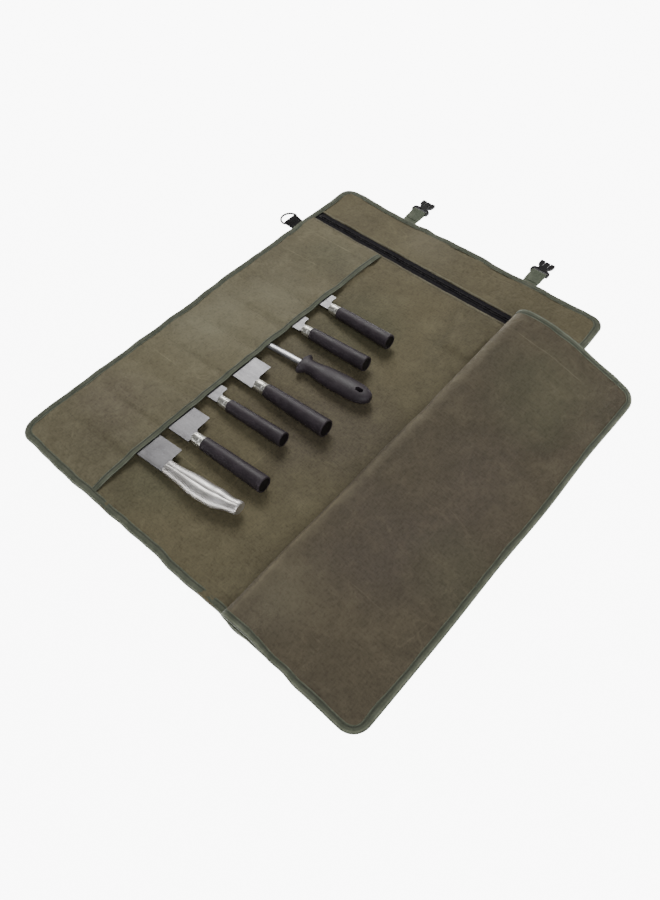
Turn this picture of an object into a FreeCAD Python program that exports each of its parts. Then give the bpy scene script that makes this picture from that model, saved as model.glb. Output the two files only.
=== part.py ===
import FreeCAD, Part
import math
import os

Vector = FreeCAD.Vector

# A waxed-canvas knife roll, laid open, with its tools in their slots and its cover flap folded back.
# Millimetres. +X runs the short way, the way the tools slide out. +Y runs the long way, towards
# the buckles. +Z is up. The origin is the middle of the base's underside.

# ---- base -------------------------------------------------------------------------------------
WIDTH = 480.0               # short way, over the edge binding
LENGTH = 655.0              # long way, over the edge binding
CORNER_RADIUS = 22.0
LEFT = -WIDTH / 2           # long edge that closes the pocket
RIGHT = WIDTH / 2           # long edge that carries the flap
FRONT = -LENGTH / 2         # short edge beside the first slot
REAR = LENGTH / 2           # short edge with the buckles

CANVAS = 0.9                # one layer of waxed canvas
TAPE = 1.0                  # binding tape and webbing
BINDING_WIDTH = 10.0
SHELL_Z = TAPE              # underside of the outer shell, on the binding's lower leg
SINK_INSET = 14.0           # the shell sinks to the table inside this border
SINK_SLOPE = 6.0            # width of the border's sloping part
SINK_REAR = REAR - 200.0    # and in front of the straps, which hold it up
LINING_Z = 2.5              # underside of the lining
LINING_TOP = LINING_Z + CANVAS
CLEARANCE = 0.3             # between bodies that move apart
OVAL_POINTS = 16

# ---- buckles, straps and the humps over the sockets ----------------------------------------------
WEBBING_WIDTH = 24.0
STRAP_FROM_LEFT = (130.0, 353.0)
STRAP_NAMES = ("left", "right")
SOCKET_BAR_Y = FRONT + 517.0
SOCKET_WIDTH = 32.0
SOCKET_THICKNESS = 5.6
SOCKET_WALL = 0.7
SOCKET_LENGTH = 30.0
HUMP_Y = FRONT + 501.0
HUMP_FOOT = (25.0, 32.0)    # half sizes along X and Y where the canvas starts to rise
HUMP_CROWN = (18.0, 20.0)   # half sizes of the flat top
HUMP_RISE = SOCKET_THICKNESS + CLEARANCE + 0.1 - SHELL_Z
STUB_START = REAR + 3.0     # the strap bends here, just past the edge
PLUG_BAR_Y = REAR + 29.0
PLUG_Z = 2.9
PLUG_HALF_THICKNESS = 2.0
PLUG_NECK = 6.4             # half width between the frame and the head
PLUG_HEAD = 12.0            # half width over the prongs' ends
PLUG_GUIDE = 4.2            # from the middle to the gap beside each prong
PLUG_LENGTH = 25.2          # from the bar to the prongs' ends
LOOP_BORE = 1.7             # inner radius of a strap's loop round a bar
BAR_RADIUS = 1.3

# ---- zip ---------------------------------------------------------------------------------------
ZIP_Y = FRONT + 570.0
ZIP_HALF_WIDTH = 10.0
ZIP_TAPE_Z = 2.9
ZIP_TAPE = 0.5
ZIP_GAP = 1.4               # between the two tapes, where the slider's bridge runs
COIL_WIDTH = 2.2
COIL_HEIGHT = 1.5
ZIP_START = LEFT + BINDING_WIDTH
ZIP_END = RIGHT - BINDING_WIDTH
SLIDER_X = RIGHT - 26.0
SLIDER_LENGTH = 12.0
SLIDER_WIDTH = 9.6
SLIDER_FOOT_Z = 2.1         # underside of the plate below the tapes
SLIDER_FOOT_TOP = 2.65
PULL_AXIS_Z = 8.0
PULL_HALF_WIDTH = 2.9
PULL_HALF_THICKNESS = 0.7
PULL_PIN = 0.8              # radius
PULL_LENGTH = 24.0

# ---- pocket ------------------------------------------------------------------------------------
POCKET_LEFT = LEFT + BINDING_WIDTH
POCKET_OPENING = LEFT + 151.0
POCKET_FRONT = FRONT + 14.0
POCKET_REAR = FRONT + 552.0
POCKET_TURN = 2.0           # thickness of the turned-down closed side, seam allowance included
POCKET_CORNER = (3.6, 8.3)  # X and Y room left for the binding's rounded front corner
POCKET_HEEL_Z = 6.3         # underside of the panel where it turns down at the closed side
POCKET_OPENING_Z = 14.2     # underside of the panel at the opening
SLOT_PITCH = 57.5
FIRST_SEAM = FRONT + 60.0
SEAM_COUNT = 8
SEAM_WIDTH = 0.8

# ---- flap ---------------------------------------------------------------------------------------
FLAP_CANVAS = 1.2
FLAP_BINDING = 2.6          # thickness over the bound edges
FLAP_BINDING_WIDTH = 8.0
FLAP_FRONT = FRONT - 1.5
FLAP_REAR = FRONT + 562.5
FLAP_EDGE = LEFT + 577.0    # free edge
FLAP_ROOT_Z = 4.35          # underside of the layer that lies on the base
FLAP_ROOT_START = LEFT + 389.2

# ---- D-rings -------------------------------------------------------------------------------------
RING_Y = FRONT + 534.0
RING_REACH = 16.5           # from the base's edge to the ring's straight bar
RING_RADIUS = 14.0
RING_WIRE = 1.6
RING_Z = 3.0
RING_LEG = 2.0              # radius of the bend at each end of the bar


# ---- helpers ----------------------------------------------------------------------------------
def block(x0, x1, y0, y1, z0, z1):
    return Part.makeBox(x1 - x0, y1 - y0, z1 - z0, Vector(x0, y0, z0))


def plate(x0, x1, y0, y1, z0, z1, radius, right_only=False):
    """A flat plate with its upright corners rounded: all four, or the two at the high-X side."""
    body = block(x0, x1, y0, y1, z0, z1)
    upright = [e for e in body.Edges if abs(e.tangentAt(e.FirstParameter).z) > 0.9]
    if right_only:
        upright = [e for e in upright if e.CenterOfMass.x > (x0 + x1) / 2]
    return body.makeFillet(radius, upright)


def frustum(x, y, z, foot, crown, rise):
    """A four-sided hump, or a hollow if rise is below 0; foot and crown are half sizes."""
    rings = []
    for (half_x, half_y), level in ((foot, z), (crown, z + rise)):
        corners = [
            Vector(x + half_x * sx, y + half_y * sy, level)
            for sx, sy in ((-1, -1), (1, -1), (1, 1), (-1, 1))
        ]
        rings.append(Part.makePolygon(corners + corners[:1]))
    return Part.makeLoft(rings, True, True)


def humped(sheet, underside):
    """A canvas sheet with a raised patch over each of the two buckle sockets."""
    patches = []
    foot_x, foot_y = HUMP_FOOT
    for offset in STRAP_FROM_LEFT:
        x, y = LEFT + offset, HUMP_Y
        foot = block(x - foot_x, x + foot_x, y - foot_y, y + foot_y, underside, underside + CANVAS)
        patch = foot.fuse(frustum(x, y, underside + CANVAS, HUMP_FOOT, HUMP_CROWN, HUMP_RISE))
        patches.append(patch.cut(frustum(x, y, underside, HUMP_FOOT, HUMP_CROWN, HUMP_RISE)))
        sheet = sheet.cut(foot)
    return Part.makeCompound([sheet] + [patch.removeSplitter() for patch in patches])


def prism(points, axis, start, length):
    """A closed outline extruded along X or Y. Points are (y, z) for X, and (x, z) for Y."""
    if axis == "x":
        corners = [Vector(start, a, b) for a, b in points]
        along = Vector(length, 0, 0)
    else:
        corners = [Vector(a, start, b) for a, b in points]
        along = Vector(0, length, 0)
    return Part.Face(Part.makePolygon(corners + corners[:1])).extrude(along)


def rod(a, b, radius):
    a, b = Vector(*a), Vector(*b)
    return Part.makeCylinder(radius, (b - a).Length, a, b - a)


def turned(profile):
    """A solid of revolution about X from (x, radius) points, closed on the axis."""
    line = [Vector(x, 0, r) for x, r in profile]
    line = [Vector(profile[0][0], 0, 0)] + line + [Vector(profile[-1][0], 0, 0)]
    face = Part.Face(Part.makePolygon(line + line[:1]))
    return face.revolve(Vector(0, 0, 0), Vector(1, 0, 0), 360)


def oval(x, y, half_y, half_z):
    """A closed smooth section across X."""
    points = []
    for step in range(OVAL_POINTS):
        turn = 2 * math.pi * step / OVAL_POINTS
        points.append(Vector(x, y + half_y * math.cos(turn), half_z * math.sin(turn)))
    curve = Part.BSplineCurve()
    curve.interpolate(points, PeriodicFlag=True)
    return Part.Wire([curve.toShape()])


def grooved(x, y, half_y, half_z):
    """A closed section across X of two arcs, which meet in a shallow groove above and below."""
    low, high = Vector(x, y, -half_z), Vector(x, y, half_z)
    left, right = Vector(x, y - half_y, 0), Vector(x, y + half_y, 0)
    return Part.Wire([Part.Arc(low, right, high).toShape(), Part.Arc(high, left, low).toShape()])


def lofted(sections, ruled=False):
    return Part.makeLoft([oval(*s) for s in sections], True, ruled)


def save(name, shape):
    shape.exportStep("parts/" + name + ".step")
    solids = shape.Solids
    box = shape.BoundBox
    print("%-22s solids %d volume %9.1f valid %s  x %.1f..%.1f y %.1f..%.1f z %.2f..%.2f" % (
        name, len(solids), shape.Volume, shape.isValid(),
        box.XMin, box.XMax, box.YMin, box.YMax, box.ZMin, box.ZMax))


# ---- base ---------------------------------------------------------------------------------------
def outer_shell():
    sheet = plate(LEFT + TAPE, RIGHT - TAPE, FRONT + TAPE, REAR - TAPE,
                  SHELL_Z, SHELL_Z + CANVAS, CORNER_RADIUS - TAPE)
    return humped(sunk(sheet), SHELL_Z)


def sunk(sheet):
    """The shell let down to the table inside its border: the flat face that the roll rests on."""
    low = FRONT + SINK_INSET
    middle = (0, (low + SINK_REAR) / 2)
    foot = (RIGHT - SINK_INSET, (SINK_REAR - low) / 2)
    floor = (foot[0] - SINK_SLOPE, foot[1] - SINK_SLOPE)
    sheet = sheet.fuse(frustum(*middle, SHELL_Z, foot, floor, -SHELL_Z))
    return sheet.cut(frustum(*middle, SHELL_Z + CANVAS, foot, floor, -SHELL_Z)).removeSplitter()


def inner_lining():
    """The lining under the tools, from the front edge to the zip's lower tape."""
    whole = plate(LEFT + TAPE, RIGHT - TAPE, FRONT + TAPE, REAR - TAPE,
                  LINING_Z, LINING_TOP, CORNER_RADIUS - TAPE)
    sheet = whole.common(block(LEFT, RIGHT, FRONT, ZIP_Y - ZIP_HALF_WIDTH, 0, LINING_TOP))
    return humped(sheet, LINING_Z)


def zip_facing():
    """The lining strip between the zip and the rear edge."""
    whole = plate(LEFT + TAPE, RIGHT - TAPE, FRONT + TAPE, REAR - TAPE,
                  LINING_Z, LINING_TOP, CORNER_RADIUS - TAPE)
    return whole.common(block(LEFT, RIGHT, ZIP_Y + ZIP_HALF_WIDTH, REAR, 0, LINING_TOP))


def edge_binding():
    """Tape folded round the whole edge, notched where webbing passes under it."""
    ring = plate(LEFT, RIGHT, FRONT, REAR, 0, LINING_TOP + CANVAS, CORNER_RADIUS)
    ring = ring.cut(plate(LEFT + TAPE, RIGHT - TAPE, FRONT + TAPE, REAR - TAPE,
                          SHELL_Z, LINING_TOP, CORNER_RADIUS - TAPE))
    inset = BINDING_WIDTH
    ring = ring.cut(plate(LEFT + inset, RIGHT - inset, FRONT + inset, REAR - inset,
                          -1, LINING_TOP + 2, CORNER_RADIUS - inset))
    for offset in STRAP_FROM_LEFT:
        x0 = LEFT + offset - WEBBING_WIDTH / 2
        ring = ring.cut(block(x0, x0 + WEBBING_WIDTH, REAR - inset - 1, REAR + 1, -1, TAPE))
    for x0 in (LEFT - 1, RIGHT - inset - 1):
        ring = ring.cut(block(x0, x0 + inset + 2, RING_Y - WEBBING_WIDTH / 2,
                              RING_Y + WEBBING_WIDTH / 2, -1, TAPE))
    return ring


# ---- pocket --------------------------------------------------------------------------------------
def panel_slope():
    run = POCKET_OPENING - POCKET_LEFT - POCKET_TURN
    return (POCKET_OPENING_Z - POCKET_HEEL_Z) / run


def under_panel(x):
    return POCKET_HEEL_Z + (x - POCKET_LEFT - POCKET_TURN) * panel_slope()


def pocket_panel():
    """A sheet over the blades, and the parts turned down at its closed side and both ends."""
    outline = [(POCKET_LEFT, POCKET_HEEL_Z), (POCKET_LEFT, POCKET_HEEL_Z + CANVAS),
               (POCKET_OPENING, POCKET_OPENING_Z + CANVAS), (POCKET_OPENING, POCKET_OPENING_Z),
               (POCKET_LEFT + POCKET_TURN, POCKET_HEEL_Z)]
    sheet = prism(outline, "y", POCKET_FRONT, POCKET_REAR - POCKET_FRONT)
    closed_side = block(POCKET_LEFT, POCKET_LEFT + POCKET_TURN, POCKET_FRONT + POCKET_CORNER[1],
                        POCKET_REAR, LINING_TOP, POCKET_HEEL_Z)
    return Part.makeCompound([sheet, closed_side] + end_walls())


def wedge_wall(y0, y1, start, reach):
    """An upright wall that fills the height between the lining and the panel."""
    outline = [(start, LINING_TOP), (start, under_panel(start)), (reach, under_panel(reach)),
               (reach, LINING_TOP)]
    return prism(outline, "y", y0, y1 - y0)


def end_walls():
    front = wedge_wall(POCKET_FRONT, POCKET_FRONT + CANVAS, POCKET_LEFT + POCKET_CORNER[0],
                       POCKET_OPENING)
    rear = wedge_wall(POCKET_REAR - CANVAS, POCKET_REAR, POCKET_LEFT + POCKET_TURN, POCKET_OPENING)
    return [front, rear]


def pocket_seams():
    """The sewn lines between the slots, as thin walls."""
    walls = []
    for number in range(SEAM_COUNT):
        y = FIRST_SEAM + number * SLOT_PITCH
        walls.append(wedge_wall(y, y + SEAM_WIDTH, POCKET_LEFT + POCKET_TURN, POCKET_OPENING - 13))
    return Part.makeCompound(walls)


def pocket_binding():
    """Tape folded over the pocket's opening edge."""
    start = POCKET_OPENING - 12
    low, high = under_panel(start), POCKET_OPENING_Z
    outline = [(start, low - TAPE), (start, low + CANVAS + TAPE),
               (POCKET_OPENING + TAPE, high + CANVAS + TAPE), (POCKET_OPENING + TAPE, high - TAPE)]
    tape = prism(outline, "y", POCKET_FRONT + CANVAS, POCKET_REAR - POCKET_FRONT - 2 * CANVAS)
    return tape.cut(pocket_panel())


# ---- zip ------------------------------------------------------------------------------------------
def zip_tape(side):
    """One of the two tapes; side is -1 for the pocket's side and 1 for the rear."""
    inner, outer = ZIP_Y + side * ZIP_GAP / 2, ZIP_Y + side * ZIP_HALF_WIDTH
    return block(ZIP_START, ZIP_END, min(inner, outer), max(inner, outer),
                 ZIP_TAPE_Z, ZIP_TAPE_Z + ZIP_TAPE)


def zip_coil(side):
    """The half-round nylon coil on one tape's inner edge."""
    y = ZIP_Y + side * (ZIP_GAP + COIL_WIDTH) / 2
    base = ZIP_TAPE_Z + ZIP_TAPE
    half = COIL_WIDTH / 2
    outline = [(y - half, base), (y + half, base), (y + half, base + COIL_HEIGHT * 0.6),
               (y + half * 0.5, base + COIL_HEIGHT), (y - half * 0.5, base + COIL_HEIGHT),
               (y - half, base + COIL_HEIGHT * 0.6)]
    return prism(outline, "x", ZIP_START + 8, ZIP_END - ZIP_START - 16)


def zip_stops():
    """The crimped end stops, one at each end of the coils."""
    base = ZIP_TAPE_Z + ZIP_TAPE
    half = ZIP_GAP / 2 + COIL_WIDTH
    return Part.makeCompound([
        plate(x, x + 3, ZIP_Y - half, ZIP_Y + half, base, base + COIL_HEIGHT + 0.2, 0.8)
        for x in (ZIP_START + 4.5, ZIP_END - 7.5)])


def zip_slider():
    """Two plates joined by a bridge, with a bail on top for the pull."""
    coil_top = ZIP_TAPE_Z + ZIP_TAPE + COIL_HEIGHT
    half = SLIDER_WIDTH / 2
    x0, x1 = SLIDER_X - SLIDER_LENGTH / 2, SLIDER_X + SLIDER_LENGTH / 2
    top = plate(x0, x1, ZIP_Y - half, ZIP_Y + half, coil_top + CLEARANCE, coil_top + 1.3, 2.5)
    bottom = plate(x0, x1, ZIP_Y - half, ZIP_Y + half,
                   SLIDER_FOOT_Z, SLIDER_FOOT_TOP, 2.5)
    bridge = block(x1 - 6, x1 - 1.5, ZIP_Y - 0.4, ZIP_Y + 0.4, 2.5, coil_top + 0.5)
    cheeks = [block(x0 + 2.5, x1 - 2.5, y, y + 0.9, 3.75, coil_top + 0.5)
              for y in (ZIP_Y - half, ZIP_Y + half - 0.9)]
    bail = block(SLIDER_X - 4, SLIDER_X + 4, ZIP_Y - 1, ZIP_Y + 1, coil_top + 1, PULL_AXIS_Z + 1.9)
    bail = bail.cut(block(SLIDER_X - 2.6, SLIDER_X + 2.6, ZIP_Y - 2, ZIP_Y + 2,
                          coil_top + 1.3, PULL_AXIS_Z + 0.9))
    return top.multiFuse([bottom, bridge, bail] + cheeks).removeSplitter()


def zip_pull():
    """A flat pull that hangs from a pin through the slider's bail."""
    half, thin = PULL_HALF_WIDTH, PULL_HALF_THICKNESS
    z0, z1 = PULL_AXIS_Z - thin, PULL_AXIS_Z + thin
    pin = rod((SLIDER_X, ZIP_Y - half, PULL_AXIS_Z), (SLIDER_X, ZIP_Y + half, PULL_AXIS_Z), PULL_PIN)
    arms = [block(SLIDER_X - 6.5, SLIDER_X + PULL_PIN, y, y + 1.2, z0, z1)
            for y in (ZIP_Y - half, ZIP_Y + half - 1.2)]
    tab = plate(SLIDER_X - PULL_LENGTH, SLIDER_X - 5.5, ZIP_Y - half, ZIP_Y + half, z0, z1, 1.4)
    hole_x = SLIDER_X - PULL_LENGTH + 4
    hole = rod((hole_x, ZIP_Y, 0), (hole_x, ZIP_Y, 12), 1.2)
    return tab.cut(hole).multiFuse(arms + [pin]).removeSplitter()


# ---- flap -----------------------------------------------------------------------------------------
# Each stretch of the flap is drawn as its middle line at the front end and at the rear end,
# as (distance from the left edge, height). The rear of the fold stands higher than the front.
FOLD_LINES = (((385.6, 8.2), (383.0, 14.0), (388.0, 19.4), (395.8, 20.6)),
              ((385.2, 8.5), (384.3, 28.0), (388.0, 42.0), (395.8, 46.3)))
MID_LINES = (((401.3, 20.4), (412.0, 16.5), (428.0, 9.5), (464.0, 7.7)),
             ((401.3, 47.0), (412.0, 47.3), (438.0, 44.0), (464.0, 38.8)))
TIP_LINES = (((467.0, 7.6), (483.0, 7.4), (496.0, 1.7), (577.0, 1.5)),
             ((467.0, 37.8), (500.0, 28.0), (548.0, 13.0), (577.0, 1.7)))


def thick_sections(line, y, thickness, reach_past):
    """Closed outlines of even thickness, one round each stretch of a middle line at y."""
    points = [Vector(LEFT + x, y, z) for x, z in line]
    if reach_past:
        first, last = points[1] - points[0], points[-1] - points[-2]
        points.insert(0, points[0] - first.normalize() * reach_past)
        points.append(points[-1] + last.normalize() * reach_past)
    runs = [(b - a).normalize() for a, b in zip(points, points[1:])]
    sides = ([], [])
    for number, point in enumerate(points):
        before, after = runs[max(number - 1, 0)], runs[min(number, len(runs) - 1)]
        along = (before + after).normalize()
        normal = Vector(-along.z, 0, along.x)
        reach = thickness / 2 / before.dot(along)
        sides[0].append(point + normal * reach)
        sides[1].append(point - normal * reach)
    stretches = zip(sides[0], sides[0][1:], sides[1][1:], sides[1])
    return [Part.makePolygon(list(corners) + [corners[0]]) for corners in stretches]


def draped(lines, thickness, reach_past=0.0):
    """A sheet between its front and rear middle lines, as one solid for each stretch of them."""
    front, rear = [thick_sections(line, y, thickness, reach_past)
                   for line, y in zip(lines, (FLAP_FRONT, FLAP_REAR))]
    return [Part.makeLoft([a, b], True, True) for a, b in zip(front, rear)]


def flap_root():
    """The layer sewn along the right edge, lying on the base."""
    return block(FLAP_ROOT_START, RIGHT, FLAP_FRONT, FLAP_REAR, FLAP_ROOT_Z, FLAP_ROOT_Z + FLAP_CANVAS)


def flap_footprint(inset):
    """What lies under the flap's rounded outline, drawn in by inset from its ends and free edge."""
    return plate(LEFT, FLAP_EDGE - inset, FLAP_FRONT + inset, FLAP_REAR - inset, -20, 80,
                 CORNER_RADIUS - inset, right_only=True)


def flap_edge_tape(lines):
    """Tape folded over the flap's ends and, on the last stretch, over its free edge."""
    stretches = draped(lines, FLAP_BINDING)
    tape = stretches[0].multiFuse(stretches[1:]).common(flap_footprint(0))
    for canvas in draped(lines, FLAP_CANVAS, FLAP_BINDING):
        tape = tape.cut(canvas.common(flap_footprint(TAPE)))
    return tape.cut(flap_footprint(FLAP_BINDING_WIDTH))


def flap_canvas(lines):
    inside = flap_footprint(TAPE)
    return Part.makeCompound([stretch.common(inside).Solids[0] for stretch in draped(lines, FLAP_CANVAS)])


# ---- straps and buckles ----------------------------------------------------------------------------
def loop_ring(x, y, z):
    """The webbing's turn round a bar."""
    ends = (x - WEBBING_WIDTH / 2, x + WEBBING_WIDTH / 2)
    outer = rod((ends[0], y, z), (ends[1], y, z), LOOP_BORE + TAPE)
    return outer.cut(rod((ends[0] - 1, y, z), (ends[1] + 1, y, z), LOOP_BORE))


def outer_strap(x):
    """Webbing sewn under the shell, from the socket's bar to just past the rear edge."""
    bar_z = SOCKET_THICKNESS / 2
    bottom = bar_z - LOOP_BORE - TAPE
    half = WEBBING_WIDTH / 2
    rise = [(SOCKET_BAR_Y, bottom), (SOCKET_BAR_Y + 14, 0), (REAR + 2.2, 0), (REAR + 2.2, TAPE),
            (SOCKET_BAR_Y + 14, TAPE), (SOCKET_BAR_Y, bottom + TAPE)]
    strip = prism(rise, "x", x - half, WEBBING_WIDTH)
    inside = rod((x - half - 1, SOCKET_BAR_Y, bar_z), (x + half + 1, SOCKET_BAR_Y, bar_z), LOOP_BORE)
    return loop_ring(x, SOCKET_BAR_Y, bar_z).fuse(strip).cut(inside).removeSplitter()


def strap_stub(x):
    """The strap's free end: it goes round the plug's bar and is sewn back on itself."""
    half = WEBBING_WIDTH / 2
    low = PLUG_Z - LOOP_BORE - TAPE
    high = PLUG_Z + LOOP_BORE + TAPE
    lower = [(STUB_START, low), (PLUG_BAR_Y, low), (PLUG_BAR_Y, low + TAPE), (STUB_START, low + TAPE)]
    upper = [(STUB_START, low + TAPE), (STUB_START + 9, low + TAPE), (PLUG_BAR_Y, high - TAPE),
             (PLUG_BAR_Y, high), (STUB_START + 7, low + 2 * TAPE), (STUB_START, low + 2 * TAPE)]
    layers = [prism(points, "x", x - half, WEBBING_WIDTH) for points in (lower, upper)]
    inside = rod((x - half - 1, PLUG_BAR_Y, PLUG_Z), (x + half + 1, PLUG_BAR_Y, PLUG_Z), LOOP_BORE)
    return loop_ring(x, PLUG_BAR_Y, PLUG_Z).multiFuse(layers).cut(inside).removeSplitter()


def flat_outline(points, x, y, z0, z1):
    """A level outline, mirrored in X, given as (half width, distance from the bar)."""
    right = [Vector(x + a, y + b, z0) for a, b in points]
    left = [Vector(x - a, y + b, z0) for a, b in points[::-1]]
    return Part.Face(Part.makePolygon(right + left + right[:1])).extrude(Vector(0, 0, z1 - z0))


def buckle_plug(x):
    """The male half: a bar frame, a neck, two springy prongs and a guide between them."""
    z0, z1 = PLUG_Z - PLUG_HALF_THICKNESS, PLUG_Z + PLUG_HALF_THICKNESS
    y = PLUG_BAR_Y
    arm = WEBBING_WIDTH / 2 + 0.6
    frame = flat_outline([(arm + 1.2, -4.0), (arm + 2.4, -2.6), (arm + 2.4, 3.6), (arm, 6.6),
                          (PLUG_NECK, 8.0)], x, y, z0, z1)
    frame = frame.cut(block(x - arm, x + arm, y - 5.0, y + 3.2, z0 - 1, z1 + 1))
    bar = rod((x - arm - 1, y, PLUG_Z), (x + arm + 1, y, PLUG_Z), BAR_RADIUS)
    head = flat_outline([(PLUG_NECK, 6.4), (PLUG_NECK, 10.0), (8.8, 12.0), (11.2, 15.0),
                         (PLUG_HEAD, 18.5), (PLUG_HEAD, PLUG_LENGTH - 1.6),
                         (PLUG_HEAD - 1.4, PLUG_LENGTH), (6.0, PLUG_LENGTH - 0.6)], x, y, z0, z1)
    for side in (-1, 1):
        gap = x + side * PLUG_GUIDE
        head = head.cut(block(gap - 0.6, gap + 0.6, y + 13.0, y + PLUG_LENGTH + 1, z0 - 1, z1 + 1))
    body = frame.multiFuse([bar, head]).removeSplitter()
    return softened(body, 0.5, z0, z1)


def softened(shape, radius, z0, z1):
    """Rounds the long rims of a flat plastic moulding where the edges allow it."""
    rims = [e for e in shape.Edges
            if e.Length > 3.5 and (abs(e.BoundBox.ZMax - z1) < 1e-3 and e.BoundBox.ZLength < 1e-3
                                   or abs(e.BoundBox.ZMin - z0) < 1e-3 and e.BoundBox.ZLength < 1e-3)]
    try:
        rounded = shape.makeFillet(radius, rims)
    except Part.OCCError:
        return shape
    return rounded if rounded.isValid() and rounded.Solids else shape


def buckle_socket(x):
    """The female half: a flat box that the prongs enter, windows for their barbs, and a bar."""
    y1 = SOCKET_BAR_Y - 4.2
    y0 = y1 - SOCKET_LENGTH
    half = SOCKET_WIDTH / 2
    arm = WEBBING_WIDTH / 2 + 0.6
    shell = plate(x - half, x + half, y0, y1, 0, SOCKET_THICKNESS, 3.0)
    floor, ceiling = SOCKET_WALL, SOCKET_THICKNESS - SOCKET_WALL
    cavity = block(x - 12.5, x + 12.5, y0 - 1, y1 - 3, floor, ceiling)
    windows = [block(x + side * half - 4, x + side * half + 4, y0 + 9, y0 + 20, floor, ceiling)
               for side in (-1, 1)]
    for hollow in [cavity] + windows:
        shell = shell.cut(hollow)
    z0, z1 = SOCKET_THICKNESS / 2 - 1.6, SOCKET_THICKNESS / 2 + 1.6
    arms = [block(x + side * (arm + 1.2) - 1.2, x + side * (arm + 1.2) + 1.2, y1 - 1,
                  SOCKET_BAR_Y + 1.8, z0, z1) for side in (-1, 1)]
    level = SOCKET_THICKNESS / 2
    bar = rod((x - arm - 1, SOCKET_BAR_Y, level), (x + arm + 1, SOCKET_BAR_Y, level), BAR_RADIUS)
    return shell.multiFuse(arms + [bar]).removeSplitter()


# ---- D-rings ----------------------------------------------------------------------------------------
def ring_tab(side):
    """Black webbing, sewn under the edge and folded round the ring's bar."""
    edge = LEFT if side < 0 else RIGHT
    bar_x = edge + side * RING_REACH
    y0, y1 = RING_Y - WEBBING_WIDTH / 2, RING_Y + WEBBING_WIDTH / 2
    bore, outer = RING_WIRE + 0.4, RING_WIRE + 0.4 + TAPE
    ring = rod((bar_x, y0, RING_Z), (bar_x, y1, RING_Z), outer)
    lower = [(bar_x, 0), (edge - side * (BINDING_WIDTH - 1), 0),
             (edge - side * (BINDING_WIDTH - 1), TAPE), (bar_x, TAPE)]
    top = RING_Z + outer
    upper = [(bar_x, top), (bar_x, top - TAPE), (edge + side * 4, TAPE), (edge + side * 1.0, TAPE),
             (edge + side * 1.0, 2 * TAPE), (edge + side * 3, 2 * TAPE)]
    layers = [prism(points, "y", y0, WEBBING_WIDTH) for points in (lower, upper)]
    inside = rod((bar_x, y0 - 1, RING_Z), (bar_x, y1 + 1, RING_Z), bore)
    return ring.multiFuse(layers).cut(inside).removeSplitter()


def d_ring(side):
    """Round wire bent to a D, with its straight bar in the tab's loop."""
    edge = LEFT if side < 0 else RIGHT
    bar_x = edge + side * RING_REACH
    bend = RING_LEG * (1 - math.sqrt(0.5))

    def at(out, across):
        return Vector(bar_x + side * out, RING_Y + across, RING_Z)

    r, leg = RING_RADIUS, RING_LEG
    path = Part.Wire([
        Part.LineSegment(at(0, leg - r), at(0, r - leg)).toShape(),
        Part.Arc(at(0, r - leg), at(bend, r - bend), at(leg, r)).toShape(),
        Part.Arc(at(leg, r), at(leg + r, 0), at(leg, -r)).toShape(),
        Part.Arc(at(leg, -r), at(bend, bend - r), at(0, leg - r)).toShape(),
    ])
    section = Part.Wire([Part.makeCircle(RING_WIRE, at(0, leg - r), Vector(0, 1, 0))])
    return path.makePipeShell([section], True, True)


# ---- tools -------------------------------------------------------------------------------------------
# A tool is drawn along X with the front of its handle at zero, then turned and set down so that
# the front of the handle and the tip of the blade both just clear the lining.
BLADE_THICKNESS = 2.2
TANG_HALF_DEPTH = 5.0
TANG_THICKNESS = 1.8
TANG_SHARE = 0.7            # of the handle's length
TANG_ROOM = 0.05            # between the tang and what it sits in
CAP_RIM = 2.1               # the handle's wall round its end cap
CAP_DEPTH = 0.9
KNIVES = {
    # front_x and axis_y place the handle's front, from the left and the front edge. spine, edge and
    # heel are measured from the handle's axis and front. turn is in degrees.
    "knife_b": dict(front_x=206.0, axis_y=140.2, turn=2.2, collar=17.6, grip=102.0,
                    front=9.3, rear=11.3, spine=-10.6, edge=33.2, heel=23.0, length=152.0),
    "knife_c": dict(front_x=186.5, axis_y=202.6, turn=2.4, collar=16.5, grip=94.0,
                    front=8.7, rear=10.3, spine=-6.2, edge=19.6, heel=22.0, length=112.0),
    "knife_d": dict(front_x=206.5, axis_y=251.6, turn=1.0, collar=18.5, grip=103.0,
                    front=9.6, rear=12.4, spine=-9.4, edge=33.4, heel=24.0, length=150.0),
    "knife_f": dict(front_x=183.5, axis_y=365.2, turn=1.2, collar=15.5, grip=96.5,
                    front=8.8, rear=10.8, spine=-6.6, edge=19.8, heel=23.0, length=104.0),
    "knife_g": dict(front_x=185.5, axis_y=420.4, turn=-1.6, collar=16.0, grip=93.5,
                    front=8.8, rear=10.8, spine=-5.6, edge=20.8, heel=24.0, length=92.0),
}


def set_down(shape, front_x, axis_y, turn, front_radius, tip, tip_radius):
    """Turns a tool in plan, tips it about its handle's front, and rests it on the lining."""
    front_z = LINING_TOP + CLEARANCE + front_radius
    tip_z = LINING_TOP + CLEARANCE + tip_radius
    tilt = math.degrees(math.atan2(front_z - tip_z, tip))
    place = FreeCAD.Placement(Vector(LEFT + front_x, FRONT + axis_y, front_z),
                              FreeCAD.Rotation(turn, -tilt, 0))
    moved = shape.copy()
    moved.Placement = place
    return moved


def slide_axis(turn, front_radius, tip, tip_radius):
    tilt = math.atan2(front_radius - tip_radius, tip)
    turn = math.radians(turn)
    return (math.cos(tilt) * math.cos(turn), math.cos(tilt) * math.sin(turn), math.sin(tilt))


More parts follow.
